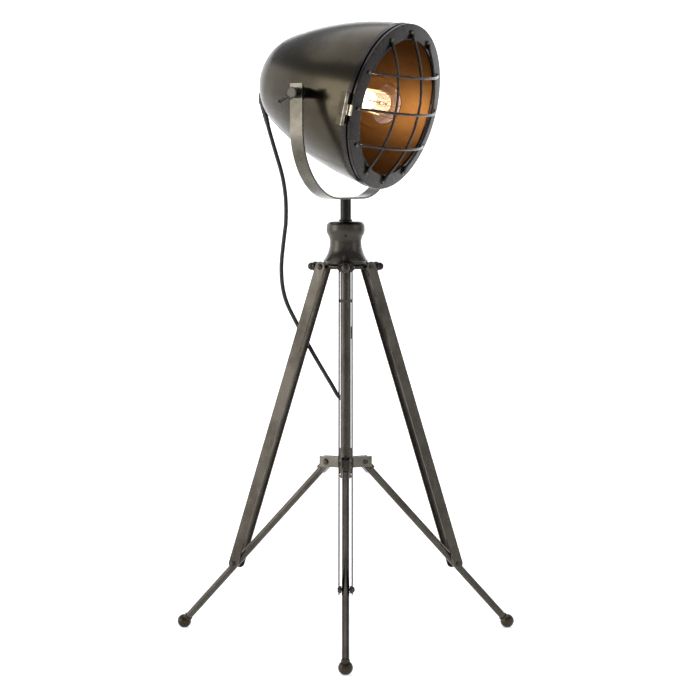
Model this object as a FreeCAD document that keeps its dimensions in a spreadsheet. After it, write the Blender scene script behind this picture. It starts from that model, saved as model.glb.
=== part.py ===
"""Tabletop searchlight lamp on a folding tripod, in millimetres.

The part's frame has +Z up and its floor at Z = 0. The stand's upright axis is not the origin: the
front leg points along -Y, so the footprint's centre lies a quarter of the foot circle in front of it.
The head hangs in a yoke that is turned about the upright axis, and the head is tilted down in it.

Head frame: X ahead out of the shade's mouth, Y along the trunnions, Z up, origin between the trunnions.
Leg frame: X outward from the upright axis, Y along the pivot pins, Z up, origin on the floor.
"""

import FreeCAD
import Part
import Sketcher

import math
import operator
import os

from FreeCAD import Placement, Rotation, Vector

UP = Vector(0, 0, 1)
AHEAD = Vector(1, 0, 0)
ALONG = Vector(0, 1, 0)

DIMENSIONS = {
    # Pose of the yoke and the head
    "yoke_turn": -30.86,
    "head_tilt": 12.68,
    "trunnion_height": 659.9,
    # Legs, each in its own leg frame
    "foot_circle": 232.2,
    "foot_radius": 8.6,
    "foot_centre": 8.3,
    "leg_pin_out": 31.0,
    "leg_pin_height": 453.6,
    "pivot_out": 155.1,
    "pivot_height": 86.1,
    "strip_width": 12.7,
    "strip_thickness": 1.7,
    "strip_gap": 13.6,
    "lower_tube_radius": 4.5,
    "lower_tube_bore": 3.5,
    "eye_thickness": 7.6,
    "eye_radius": 5.5,
    "pin_radius": 2.0,
    "pin_head_radius": 3.9,
    "pin_head_height": 2.4,
    "pin_tail_radius": 2.9,
    "pin_tail_height": 0.9,
    "running_play": 0.05,
    # Spider
    "spider_out": 24.0,
    "spider_plate": 1.7,
    "spider_width": 12.5,
    "spider_low": 212.0,
    "spider_high": 225.0,
    "spider_reach": 33.0,
    "sleeve_radius": 7.6,
    "sleeve_low": 205.0,
    "sleeve_high": 235.8,
    # Post, hub and stem
    "post_radius": 6.35,
    "post_bore": 4.9,
    "post_low": 203.0,
    "hub_low": 460.2,
    "hub_height": 48.1,
    "hub_foot_radius": 27.2,
    "hub_neck_radius": 19.1,
    "hub_neck_height": 23.5,
    "hub_belly_radius": 23.3,
    "hub_belly_height": 38.8,
    "hub_shoulder": 6.0,
    "plate_radius": 24.0,
    "plate_low": 457.2,
    "boss_radius": 8.2,
    "boss_low": 447.5,
    "stem_radius": 6.6,
    "stem_depth": 28.0,
    "stem_top": 534.8,
    "arm_radius": 3.4,
    "arm_collar_radius": 6.0,
    "arm_collar_out": 41.0,
    "arm_collar_width": 2.5,
    "arm_ball_radius": 4.8,
    "arm_ball_out": 47.5,
    # Yoke
    "yoke_half": 112.4,
    "yoke_thickness": 2.3,
    "yoke_width": 16.8,
    "yoke_top": 671.0,
    "yoke_bend": 86.0,
    "swivel_head_radius": 6.0,
    "swivel_head_height": 1.2,
    "swivel_shank": 3.0,
    # Clamp screws
    "clamp_shank": 4.0,
    "clamp_inner": 81.0,
    "clamp_boss_radius": 6.5,
    "clamp_boss_length": 9.5,
    "bar_radius": 2.3,
    "bar_out": 5.2,
    "bar_reach": 23.0,
    "bar_stub": 6.9,
    "bar_drop": 27.5,
    # Shade: a dome, then one long arc to the lip
    "dome_radius": 64.2,
    "dome_centre": -47.3,
    "flare_radius": 348.0,
    "flare_slope": 29.0,
    "shade_wall": 1.2,
    "lip_ahead": 64.4,
    "band_width": 5.0,
    "band_thickness": 0.8,
    # Guard
    "ring_radius": 99.9,
    "ring_opening": 81.3,
    "ring_back": 67.4,
    "ring_face": 71.5,
    "ring_rise": 1.9,
    "ring_wall": 1.2,
    "skirt_radius": 96.5,
    "skirt_back": 62.0,
    "guard_bulge": 28.9,
    "guard_lift": 3.1,
    "guard_seat": 90.0,
    "guard_spread": 42.9,
    "guard_sag": -2.7,
    "wire_radius": 1.6,
    "tab_radius": 3.2,
    "tab_thickness": 1.4,
    "rivet_radius": 2.25,
    # Hinge and catch
    "hinge_ahead": 64.0,
    "hinge_side": 104.5,
    "hinge_drop": 5.5,
    "knuckle_radius": 2.4,
    "knuckle_length": 12.5,
    "knuckle_gap": 0.35,
    "hinge_pin_radius": 1.0,
    "catch_gap": 0.4,
    # Bulb and lampholder
    "bulb_radius": 31.5,
    "bulb_centre": 41.7,
    "bulb_taper": 18.0,
    "bulb_wall": 0.8,
    "cap_radius": 13.3,
    "cap_back": -51.8,
    "cap_front": -24.8,
    "holder_radius": 20.0,
    "holder_back": -85.0,
    "holder_front": -27.0,
    "strap_width": 16.0,
    "strap_thickness": 1.5,
    "cage_radius": 11.0,
    "filament_radius": 0.5,
    # Cord and what is on it
    "bush_drop": 20.7,
    "bush_stand": 8.0,
    "bush_radius": 4.8,
    "bush_nozzle": 10.0,
    "cord_radius": 2.5,
    "hank_thickness": 10.4,
    "hank_outer": 22.7,
    "hank_inner": 12.5,
    "hank_low": 290.0,
    "hank_high": 440.0,
    "hank_behind": 30.3,
    "tie_thickness": 0.8,
    "tie_width": 3.0,
    "plug_width": 22.0,
    "plug_length": 38.0,
    "plug_low": 330.0,
    "switch_depth": 20.0,
    "switch_length": 56.0,
    "switch_thickness": 12.0,
    "switch_low": 343.0,
}

doc = FreeCAD.newDocument("TabletopSearchlight")
sheet = doc.addObject("Spreadsheet::Sheet", "Sizes")
for row, (alias, number) in enumerate(DIMENSIONS.items(), start=1):
    sheet.set(f"A{row}", alias)
    sheet.set(f"B{row}", str(number))
    sheet.setAlias(f"B{row}", alias)
doc.recompute()


# ---------------------------------------------------------------- sizes that carry their expression


OPERATIONS = {"+": operator.add, "-": operator.sub, "*": operator.mul, "/": operator.truediv}


class Size:
    """A length or angle together with the expression that works it out from the sheet."""

    def __init__(self, value, text):
        self.value = value
        self.text = text

    def __add__(self, other):
        return combined(self, "+", other)

    def __radd__(self, other):
        return combined(other, "+", self)

    def __sub__(self, other):
        return combined(self, "-", other)

    def __rsub__(self, other):
        return combined(other, "-", self)

    def __mul__(self, other):
        return combined(self, "*", other)

    def __rmul__(self, other):
        return combined(other, "*", self)

    def __truediv__(self, other):
        return combined(self, "/", other)

    def __neg__(self):
        return combined(0, "-", self)


def as_size(thing):
    if isinstance(thing, Size):
        return thing
    return Size(float(thing), f"({float(thing)})")


def combined(left, sign, right):
    left = as_size(left)
    right = as_size(right)
    return Size(OPERATIONS[sign](left.value, right.value), f"({left.text} {sign} {right.text})")


def size(alias):
    """The sheet's value of that alias."""
    return Size(float(sheet.get(alias)), f"Sizes.{alias}")


def sine(angle):
    return Size(math.sin(math.radians(angle.value)), f"sin({angle.text})")


def cosine(angle):
    return Size(math.cos(math.radians(angle.value)), f"cos({angle.text})")


def root(area):
    return Size(math.sqrt(area.value), f"sqrt({area.text})")


BOUND = []


def bind(thing, prop, wanted):
    """Bind one property to the sheet and remember it for the check before export."""
    thing.setExpression(prop, as_size(wanted).text)
    BOUND.append((thing, prop, as_size(wanted).value))


# ---------------------------------------------------------------- ways to make a solid


def put(solid, at, rotation):
    solid.Placement = Placement(Vector(*[as_size(v).value for v in at]), rotation)
    for axis, value in zip("xyz", at):
        bind(solid, f"Placement.Base.{axis}", value)
    return solid


def cylinder(name, radius, length, at=(0, 0, 0), toward=UP):
    solid = doc.addObject("Part::Cylinder", name)
    bind(solid, "Radius", radius)
    bind(solid, "Height", length)
    return put(solid, at, Rotation(UP, toward))


def ball(name, radius, at):
    solid = doc.addObject("Part::Sphere", name)
    bind(solid, "Radius", radius)
    return put(solid, at, Rotation())


def box(name, low, high):
    """A box between two opposite corners."""
    solid = doc.addObject("Part::Box", name)
    for prop, start, end in zip(("Length", "Width", "Height"), low, high):
        bind(solid, prop, as_size(end) - start)
    return put(solid, low, Rotation())


def hexagon(name, across, length, at, toward):
    """A six-sided prism that measures `across` between its corners."""
    solid = doc.addObject("Part::Prism", name)
    solid.Polygon = 6
    bind(solid, "Circumradius", across / 2)
    bind(solid, "Height", length)
    return put(solid, at, Rotation(UP, toward))


def fused(name, solids, place=Placement()):
    joined = doc.addObject("Part::MultiFuse", name)
    joined.Shapes = solids
    joined.Placement = place
    return joined


def grouped(name, solids, place=Placement()):
    """Separate solids that share one node."""
    group = doc.addObject("Part::Compound", name)
    group.Links = solids
    group.Placement = place
    return group


def shared(name, solids, place=Placement()):
    """What all the solids have in common."""
    common = doc.addObject("Part::MultiCommon", name)
    common.Shapes = solids
    common.Placement = place
    return common


def cut(name, solid, tools, place=Placement()):
    rest = doc.addObject("Part::Cut", name)
    rest.Base = solid
    rest.Tool = tools[0] if len(tools) == 1 else fused(name + "_tools", tools)
    rest.Refine = True
    rest.Placement = place
    return rest


def corner_constraint(sketch, kind, geometry, point, coordinate):
    if abs(coordinate.value) < 1e-9:
        axis = -2 if kind == "DistanceX" else -1
        sketch.addConstraint(Sketcher.Constraint("PointOnObject", geometry, point, axis))
        return
    index = sketch.addConstraint(
        Sketcher.Constraint(kind, -1, 1, geometry, point, coordinate.value)
    )
    sketch.setExpression(f"Constraints[{index}]", coordinate.text)


def side_geometry(start, end, radius):
    """A line, or the shorter arc whose centre is left of the way along it for a positive radius."""
    if radius is None:
        return Part.LineSegment(start, end)
    chord = end - start
    left = Vector(-chord.y, chord.x, 0).normalize()
    rise = math.sqrt(radius.value**2 - (chord.Length / 2) ** 2)
    centre = (start + end) * 0.5 + left * math.copysign(rise, radius.value)
    first, last = (start, end) if radius.value > 0 else (end, start)
    angles = [math.atan2(p.y - centre.y, p.x - centre.x) for p in (first, last)]
    if angles[1] < angles[0]:
        angles[1] += 2 * math.pi
    return Part.ArcOfCircle(Part.Circle(centre, UP, abs(radius.value)), *angles)


def draw(sketch, outline):
    """A closed outline. Each corner is (x, y), or (x, y, radius) when an arc arrives at it."""
    corners = [(as_size(c[0]), as_size(c[1])) for c in outline]
    radii = [as_size(c[2]) if len(c) == 3 else None for c in outline]
    points = [Vector(x.value, y.value, 0) for x, y in corners]
    count = len(points)
    forward = []
    for i in range(count):
        j = (i + 1) % count
        sketch.addGeometry(side_geometry(points[i], points[j], radii[j]), False)
        forward.append(radii[j] is None or radii[j].value > 0)
    for i in range(count):
        start = 1 if forward[i] else 2
        previous_end = 2 if forward[i - 1] else 1
        sketch.addConstraint(
            Sketcher.Constraint("Coincident", (i - 1) % count, previous_end, i, start)
        )
        corner_constraint(sketch, "DistanceX", i, start, corners[i][0])
        corner_constraint(sketch, "DistanceY", i, start, corners[i][1])
    for i in range(count):
        radius = radii[(i + 1) % count]
        if radius is not None:
            index = sketch.addConstraint(Sketcher.Constraint("Radius", i, abs(radius.value)))
            sketch.setExpression(f"Constraints[{index}]", f"abs({radius.text})")


def sketched_body(name, plane, outline):
    body = doc.addObject("PartDesign::Body", name)
    sketch = body.newObject("Sketcher::SketchObject", name + "_outline")
    origin_plane = next(f for f in body.Origin.OriginFeatures if f.Role == plane)
    sketch.AttachmentSupport = (origin_plane, [""])
    sketch.MapMode = "FlatFace"
    draw(sketch, outline)
    return body, sketch


def turned(name, outline, place=Placement()):
    """A body turned about its Z axis from corners (radius, height)."""
    body, sketch = sketched_body(name, "XZ_Plane", outline)
    turn = body.newObject("PartDesign::Revolution", name + "_turn")
    turn.Profile = sketch
    turn.ReferenceAxis = (sketch, ["V_Axis"])
    turn.Angle = 360
    body.Placement = place
    return body


def padded(name, outline, length, place=Placement()):
    """A body of constant section, from corners in its XY plane, raised along its Z axis."""
    body, sketch = sketched_body(name, "XY_Plane", outline)
    pad = body.newObject("PartDesign::Pad", name + "_pad")
    pad.Profile = sketch
    bind(pad, "Length", length)
    body.Placement = place
    return body


def loose(name, shape, place=Placement()):
    """A solid that no feature makes, such as a bent wire."""
    feature = doc.addObject("Part::Feature", name)
    feature.Shape = shape
    feature.Placement = place
    return feature


NODES = []


def node(label, solid):
    """Mark one object as a sub-part of its own."""
    solid.Label = label
    NODES.append(solid)
    return solid


# ---------------------------------------------------------------- frames


AXIS_BACK = size("foot_circle") / 4
STAND = Placement(Vector(0, AXIS_BACK.value, 0), Rotation())
YOKE = STAND * Placement(Vector(), Rotation(UP, size("yoke_turn").value))
HEAD = YOKE * Placement(
    Vector(0, 0, size("trunnion_height").value), Rotation(ALONG, size("head_tilt").value)
)
LEG_TURNS = {"front": -90, "right": 30, "left": 150}
LEGS = {leg: STAND * Placement(Vector(), Rotation(UP, turn)) for leg, turn in LEG_TURNS.items()}
TURNED_AHEAD = Placement(Vector(), Rotation(ALONG, 90))
PLAY = size("running_play")


def at_height(height, frame=STAND):
    return frame * Placement(Vector(0, 0, as_size(height).value), Rotation())


# ---------------------------------------------------------------- hub, stem and post


HUB_TOP = size("hub_low") + size("hub_height")
STEM_FOOT = HUB_TOP - size("stem_depth")


def make_hub():
    neck = size("hub_neck_radius")
    belly = size("hub_belly_radius")
    neck_height = size("hub_neck_height")
    belly_height = size("hub_belly_height")
    height = size("hub_height")
    shoulder = size("hub_shoulder")
    foot = size("hub_foot_radius")
    bore = size("stem_radius") + PLAY
    middle = ((neck + belly) / 2, (neck_height + belly_height) / 2)
    out = (belly - neck) / 2
    rise = (belly_height - neck_height) / 2
    sweep = (out * out + rise * rise) / (2 * out)
    foot_drop = neck_height - 0.9
    foot_out = foot - neck
    flare = (foot_out * foot_out + foot_drop * foot_drop) / (2 * foot_out)
    outline = [
        (0, 0),
        (foot - 0.6, 0),
        (foot, 0.9),
        (neck, neck_height, -flare),
        (*middle, -sweep),
        (belly, belly_height, sweep),
        (belly - 0.2, height - shoulder),
        (belly - 0.2 - shoulder, height, shoulder),
        (bore, height),
        (bore, height - size("stem_depth")),
        (0, height - size("stem_depth")),
    ]
    node("hub", turned("Hub", outline, at_height(size("hub_low"))))


def make_hub_base():
    """The plate under the hub, with a core that the three arms screw into."""
    core_height = size("plate_low") - size("boss_low")
    plate_height = size("hub_low") - size("boss_low")
    outline = [
        (0, 0),
        (size("boss_radius"), 0),
        (size("boss_radius"), core_height),
        (size("plate_radius") - 1, core_height),
        (size("plate_radius"), core_height + 1),
        (size("plate_radius"), plate_height),
        (0, plate_height),
    ]
    blank = turned("HubBaseBlank", outline, at_height(size("boss_low")))
    sockets = []
    for leg, turn in LEG_TURNS.items():
        toward = Rotation(UP, turn).multVec(AHEAD)
        socket = cylinder(
            f"ArmSocket_{leg}",
            size("arm_radius") + PLAY,
            size("boss_radius") + 4,
            (4 * toward.x, AXIS_BACK + 4 * toward.y, size("leg_pin_height")),
            toward,
        )
        sockets.append(socket)
    node("hub_base", cut("HubBase", blank, sockets))


def make_stem():
    outline = [
        (0, 0),
        (size("stem_radius"), 0),
        (size("stem_radius"), size("stem_depth")),
        (size("stem_radius") + 1.9, size("stem_depth")),
        (size("stem_radius") + 1.2, size("stem_depth") + 2.4),
        (size("stem_radius"), size("stem_depth") + 2.4),
        (size("stem_radius"), size("stem_top") - STEM_FOOT),
        (size("swivel_shank") + PLAY, size("stem_top") - STEM_FOOT),
        (size("swivel_shank") + PLAY, size("stem_depth")),
        (0, size("stem_depth")),
    ]
    node("stem_tube", turned("StemTube", outline, at_height(STEM_FOOT)))


def make_swivel_screw():
    """Its head lies sunk in the yoke and its shank stands on the stem's bottom."""
    head_low = size("stem_top") + size("yoke_thickness") - size("swivel_head_height")
    shank = cylinder(
        "SwivelShank",
        size("swivel_shank"),
        head_low - HUB_TOP,
        (0, AXIS_BACK, HUB_TOP),
    )
    head = cylinder(
        "SwivelHead",
        size("swivel_head_radius"),
        size("swivel_head_height"),
        (0, AXIS_BACK, head_low),
    )
    slot = box(
        "SwivelSlot",
        (-size("swivel_head_radius"), AXIS_BACK - 0.6, head_low + 0.5),
        (size("swivel_head_radius"), AXIS_BACK + 0.6, head_low + 2),
    )
    node("swivel_screw", cut("SwivelScrew", fused("SwivelBlank", [shank, head]), [slot]))


def make_post():
    low = size("post_low")
    length = size("boss_low") - low
    outer = cylinder("PostOuter", size("post_radius"), length, (0, AXIS_BACK, low))
    bore = cylinder("PostBore", size("post_bore"), length, (0, AXIS_BACK, low))
    node("centre_post", cut("CentrePost", outer, [bore]))
    cap_height = 4
    outline = [
        (0, 0),
        (size("post_radius") - 1, 0),
        (size("post_radius") + 0.7, 1.7, 2.0),
        (size("post_radius") + 0.7, cap_height),
        (size("post_bore") - PLAY, cap_height),
        (size("post_bore") - PLAY, cap_height + 12),
        (0, cap_height + 12),
    ]
    node("post_cap", turned("PostCap", outline, at_height(low - cap_height)))


def make_arm(leg):
    """A rod with a collar and a ball end, drilled for the leg's pin."""
    height = size("leg_pin_height")
    rod = cylinder(f"ArmRod_{leg}", size("arm_radius"), size("arm_ball_out") - 4, (4, 0, height), AHEAD)
    collar = cylinder(
        f"ArmCollar_{leg}",
        size("arm_collar_radius"),
        size("arm_collar_width"),
        (size("arm_collar_out"), 0, height),
        AHEAD,
    )
    end = ball(f"ArmBall_{leg}", size("arm_ball_radius"), (size("arm_ball_out"), 0, height))
    hole = pin_hole(f"ArmHole_{leg}", size("leg_pin_out"), height, 20)
    blank = fused(f"ArmBlank_{leg}", [rod, collar, end])
    node(f"arm_{leg}", cut(f"Arm_{leg}", blank, [hole], LEGS[leg]))


# ---------------------------------------------------------------- pins


STRIP_FACE = size("strip_gap") / 2 + size("strip_thickness")


def pin_hole(name, out, height, length):
    return cylinder(
        name, size("pin_radius") + PLAY, length, (out, -length / 2, height), ALONG
    )


def riveted_pin(name, out, height, face, frame, start=None):
    """A pin along Y: a domed head beyond +face and, unless it is a stub, a flat tail beyond -face."""
    radius = size("pin_radius")
    head = size("pin_head_radius")
    dome = size("pin_head_height")
    crown = (head * head + dome * dome) / (2 * dome)
    if start is None:
        tail = size("pin_tail_height")
        start = -face - tail
        outline = [(0, 0), (size("pin_tail_radius"), 0), (size("pin_tail_radius"), tail), (radius, tail)]
    else:
        outline = [(0, 0), (radius, 0)]
    outline += [
        (radius, face - start),
        (head, face - start),
        (0, face - start + dome, crown),
    ]
    base = Vector(out.value, start.value, height.value)
    return turned(name, outline, frame * Placement(base, Rotation(UP, ALONG)))


def tube_along(name, outer, inner, start, length, out, height):
    return cut(
        name,
        cylinder(name + "_outer", outer, length, (out, start, height), ALONG),
        [cylinder(name + "_inner", inner, length, (out, start, height), ALONG)],
    )


def make_arm_pins():
    """The pins that the legs turn on, and the spacers that keep the strips off the arms."""
    pins = []
    spacers = []
    spacer_length = size("strip_gap") / 2 - size("arm_radius") - 0.1
    for leg in LEGS:
        out = size("leg_pin_out")
        height = size("leg_pin_height")
        pins.append(riveted_pin(f"ArmPin_{leg}", out, height, STRIP_FACE, LEGS[leg]))
        for side, start in (("left", size("arm_radius")), ("right", -size("arm_radius") - spacer_length)):
            ring = tube_along(
                f"ArmSpacer_{leg}_{side}", 3.4, size("pin_radius") + PLAY, start, spacer_length, out, height
            )
            ring.Placement = LEGS[leg]
            spacers.append(ring)
    node("arm_pins", grouped("ArmPins", pins))
    node("arm_pin_spacers", grouped("ArmPinSpacers", spacers))


# ---------------------------------------------------------------- legs


LEG_OUT = size("pivot_out") - size("leg_pin_out")
LEG_DOWN = size("leg_pin_height") - size("pivot_height")
UPPER_LENGTH = root(LEG_OUT * LEG_OUT + LEG_DOWN * LEG_DOWN)
UPPER_LEAN = math.degrees(math.atan2(LEG_OUT.value, LEG_DOWN.value))
FOOT_OUT = size("foot_circle") - size("pivot_out")
FOOT_DOWN = size("pivot_height") - size("foot_centre")
FOOT_LENGTH = root(FOOT_OUT * FOOT_OUT + FOOT_DOWN * FOOT_DOWN)
LOWER_LEAN = math.degrees(math.atan2(FOOT_OUT.value, FOOT_DOWN.value))
SPIDER_IN = size("pivot_out") - size("spider_out")
SPIDER_PIN_HEIGHT = size("pivot_height") + SPIDER_IN * FOOT_DOWN / FOOT_OUT
EYE_LENGTH = SPIDER_IN * FOOT_LENGTH / FOOT_OUT


def make_upper_leg(leg):
    """Two flat strips with round ends, hanging from the arm's pin."""
    radius = size("strip_width") / 2
    thick = size("strip_thickness")
    place = Placement(
        Vector(size("leg_pin_out").value, 0, size("leg_pin_height").value), Rotation(ALONG, -UPPER_LEAN)
    )
    strips = []
    for side, inner in (("left", size("strip_gap") / 2), ("right", -size("strip_gap") / 2 - thick)):
        name = f"Strip_{leg}_{side}"
        blank = fused(
            name + "_blank",
            [
                box(name + "_flat", (-radius, inner, -UPPER_LENGTH), (radius, inner + thick, 0)),
                cylinder(name + "_upper_end", radius, thick, (0, inner, 0), ALONG),
                cylinder(name + "_lower_end", radius, thick, (0, inner, -UPPER_LENGTH), ALONG),
            ],
        )
        holes = [pin_hole(name + "_upper_hole", 0, 0, 30), pin_hole(name + "_lower_hole", 0, -UPPER_LENGTH, 30)]
        strips.append(cut(name, blank, holes))
    node(f"upper_leg_{leg}", grouped(f"UpperLeg_{leg}", strips, LEGS[leg] * place))


def make_pivot_pin(leg):
    """The pin through both strips and the lower tube, with a washer each side of the tube."""
    out = size("pivot_out")
    height = size("pivot_height")
    washer_start = size("lower_tube_radius") + 0.3
    washer = size("strip_gap") / 2 - washer_start
    solids = [riveted_pin(f"PivotPin_{leg}", out, height, STRIP_FACE, Placement())]
    for side, start in (("left", washer_start), ("right", -washer_start - washer)):
        solids.append(
            tube_along(f"Washer_{leg}_{side}", 4.4, size("pin_radius") + PLAY, start, washer, out, height)
        )
    node(f"pivot_pin_{leg}", grouped(f"PivotSet_{leg}", solids, LEGS[leg]))


def make_lower_leg(leg):
    """A tube from its eye at the spider, through the pivot, down to the foot's neck."""
    radius = size("lower_tube_radius")
    neck = FOOT_LENGTH - size("foot_radius") - 1
    eye = size("eye_radius")
    thick = size("eye_thickness")
    tube_length = EYE_LENGTH - 12 + neck
    blank = fused(
        f"LowerBlank_{leg}",
        [
            cylinder(f"LowerTube_{leg}", radius, tube_length, (0, 0, -neck)),
            box(f"LowerFlat_{leg}", (-eye, -thick / 2, EYE_LENGTH - 15), (eye, thick / 2, EYE_LENGTH)),
            cylinder(f"LowerEye_{leg}", eye, thick, (0, -thick / 2, EYE_LENGTH), ALONG),
        ],
    )
    cuts = [
        cylinder(f"LowerBore_{leg}", size("lower_tube_bore"), tube_length - 5, (0, 0, -neck)),
        pin_hole(f"LowerPivotHole_{leg}", 0, 0, 12),
        cylinder(f"LowerEyeHole_{leg}", size("pin_radius") + 0.4, 12, (0, -6, EYE_LENGTH), ALONG),
    ]
    place = LEGS[leg] * Placement(
        Vector(size("pivot_out").value, 0, size("pivot_height").value), Rotation(ALONG, -LOWER_LEAN)
    )
    node(f"lower_leg_{leg}", cut(f"LowerLeg_{leg}", blank, cuts, place))


def make_foot(leg):
    """A ball with a collar and a plug up the tube, worn flat where it stands."""
    neck = FOOT_LENGTH - size("foot_radius") - 1
    place = LEGS[leg] * Placement(
        Vector(size("pivot_out").value, 0, size("pivot_height").value), Rotation(ALONG, -LOWER_LEAN)
    )
    blank = fused(
        f"FootBlank_{leg}",
        [
            ball(f"FootBall_{leg}", size("foot_radius"), (0, 0, -FOOT_LENGTH)),
            cylinder(f"FootCollar_{leg}", 5.4, 4.5, (0, 0, -neck - 4.5)),
            cylinder(f"FootPlug_{leg}", size("lower_tube_bore") - PLAY, 14, (0, 0, -neck - 1)),
        ],
        place,
    )
    floor = box(f"FootFloor_{leg}", (-300, -300, -20), (300, 300, 0))
    node(f"foot_{leg}", cut(f"Foot_{leg}", blank, [floor]))


# ---------------------------------------------------------------- spider


def make_spider():
    """A sleeve that slides on the post and three clevises that hold the lower legs' eyes."""
    low = size("sleeve_low")
    sleeve = size("sleeve_radius")
    flange = size("spider_low") - low
    height = size("sleeve_high") - low
    bore = size("post_radius") + PLAY
    outline = [
        (bore, 0),
        (sleeve, 0),
        (sleeve, flange - 2),
        (sleeve + 1.4, flange - 2),
        (sleeve + 1.4, flange),
        (sleeve, flange),
        (sleeve, height - 0.5),
        (sleeve - 0.5, height),
        (bore, height),
    ]
    node("spider_sleeve", turned("SpiderSleeve", outline, at_height(low)))

    half = size("spider_width") / 2
    plate = size("spider_plate")
    bottom = size("spider_low")
    top = size("spider_high")
    solids = [cylinder("SpiderRing", sleeve + 2, top - bottom, (0, AXIS_BACK, bottom))]
    for leg in LEGS:
        for side, inner in (("left", half - plate), ("right", -half)):
            name = f"Clevis_{leg}_{side}"
            flat = box(name, (5, inner, bottom), (size("spider_reach"), inner + plate, top))
            hole = pin_hole(name + "_hole", size("spider_out"), SPIDER_PIN_HEIGHT, 30)
            solids.append(cut(name + "_drilled", flat, [hole], LEGS[leg]))
    bore = cylinder("SpiderBore", sleeve + PLAY, top - bottom, (0, AXIS_BACK, bottom))
    node("spider_brackets", cut("SpiderBrackets", fused("SpiderBlank", solids), [bore]))

    pins = []
    for leg in LEGS:
        name = f"SpiderPin_{leg}"
        out = size("spider_out")
        tail = size("pin_tail_height")
        pins.append(riveted_pin(name + "_head", out, SPIDER_PIN_HEIGHT, half, LEGS[leg], half - plate))
        outline = [
            (0, 0),
            (size("pin_tail_radius"), 0),
            (size("pin_tail_radius"), tail),
            (size("pin_radius"), tail),
            (size("pin_radius"), tail + plate),
            (0, tail + plate),
        ]
        base = Vector(out.value, (-half - tail).value, SPIDER_PIN_HEIGHT.value)
        pins.append(turned(name + "_tail", outline, LEGS[leg] * Placement(base, Rotation(UP, ALONG))))
    node("spider_pins", grouped("SpiderPins", pins))


# ---------------------------------------------------------------- yoke and clamp screws


PADDED_ACROSS = Rotation(ALONG, UP, AHEAD, "ZXY")


def make_yoke():
    """One strip bent into a U; its outline lies across the head, its width ahead."""
    half = size("yoke_half")
    thick = size("yoke_thickness")
    bend = size("yoke_bend")
    top = size("yoke_top") - size("stem_top")
    width = size("yoke_width")
    outline = [
        (bend, 0, bend),
        (half * 2 - bend, 0),
        (half * 2, bend, bend),
        (half * 2, top),
        (half * 2 - thick, top),
        (half * 2 - thick, bend),
        (half * 2 - bend, thick, thick - bend),
        (bend, thick),
        (thick, bend, thick - bend),
        (thick, top),
        (0, top),
        (0, bend),
    ]
    corner = Vector(-width.value / 2, -half.value, size("stem_top").value)
    strip = padded("YokeStrip", outline, width, Placement(corner, PADDED_ACROSS))
    sink_low = size("stem_top") + thick - size("swivel_head_height")
    cuts = [
        cylinder(
            "YokeClampHole",
            size("clamp_shank") + PLAY,
            half * 2 + 4,
            (0, -half - 2, size("trunnion_height")),
            ALONG,
        ),
        cylinder("YokeSwivelHole", size("swivel_shank") + PLAY, 10, (0, 0, size("stem_top") - 2)),
        cylinder("YokeSwivelSink", size("swivel_head_radius") + 0.4, 5, (0, 0, sink_low)),
    ]
    node("yoke", cut("Yoke", strip, cuts, YOKE))


def make_clamp_screw(side, sign):
    """A shouldered screw through the yoke's arm, turned by the bar through its boss."""
    shank = size("clamp_shank")
    boss = size("clamp_boss_radius")
    reach = size("yoke_half") - size("clamp_inner")
    length = reach + size("clamp_boss_length")
    outline = [
        (0, 0),
        (shank - 0.5, 0),
        (shank, 0.5),
        (shank, reach),
        (boss, reach),
        (boss, length - 1.5),
        (boss - 1.5, length, 1.5),
        (0, length),
    ]
    outward = Rotation(AHEAD, -90 * sign)
    start = Vector(0, sign * size("clamp_inner").value, size("trunnion_height").value)
    blank = turned(f"ClampBlank_{side}", outline, Placement(start, outward))
    drop = size("bar_drop")
    stub = size("bar_stub")
    back = Vector(-cosine(drop).value, 0, -sine(drop).value)
    bar_start = (
        cosine(drop) * stub,
        (size("yoke_half") + size("bar_out")) * sign,
        size("trunnion_height") + sine(drop) * stub,
    )
    bore = cylinder(f"ClampBore_{side}", size("bar_radius") + PLAY, 40, bar_start, back)
    node(f"thumb_screw_{side}", cut(f"ClampScrew_{side}", blank, [bore], YOKE))

    radius = size("bar_radius")
    bar_length = stub + size("bar_reach")
    bar_outline = [
        (0, 0),
        (radius - 0.4, 0),
        (radius, 0.4),
        (radius, bar_length - 3.4),
        (radius + 0.7, bar_length - 1.4),
        (radius + 0.3, bar_length),
        (0, bar_length),
    ]
    bar_place = Placement(Vector(*[v.value for v in bar_start]), Rotation(UP, back))
    node(f"tommy_bar_{side}", turned(f"TommyBar_{side}", bar_outline, YOKE * bar_place))


# ---------------------------------------------------------------- shade


POLE = size("dome_centre") - size("dome_radius")
FLARE_START = (
    size("dome_radius") * cosine(size("flare_slope")),
    size("dome_centre") - size("dome_radius") * sine(size("flare_slope")),
)
FLARE_CENTRE = (
    FLARE_START[0] - size("flare_radius") * cosine(size("flare_slope")),
    FLARE_START[1] + size("flare_radius") * sine(size("flare_slope")),
)


def flare_out(ahead, inset=0):
    """The shade's radius at that place ahead, on the flare or inset from it."""
    radius = size("flare_radius") - inset
    rise = FLARE_CENTRE[1] - ahead
    return FLARE_CENTRE[0] + root(radius * radius - rise * rise)


LIP_RADIUS = flare_out(size("lip_ahead"))


def shade_blank(name, inset, front):
    """The solid inside the shade's outer surface, or inset by its wall."""
    dome = size("dome_radius") - inset
    outline = [
        (0, inset),
        (
            dome * cosine(size("flare_slope")),
            size("dome_centre") - dome * sine(size("flare_slope")) - POLE,
            dome,
        ),
        (flare_out(front, inset), front - POLE, size("flare_radius") - inset),
        (0, front - POLE),
    ]
    return turned(name, outline, Placement(Vector(POLE.value, 0, 0), TURNED_AHEAD.Rotation))


def dome_normal():
    drop = size("bush_drop")
    return Vector(-cosine(drop).value, 0, -sine(drop).value)


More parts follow.
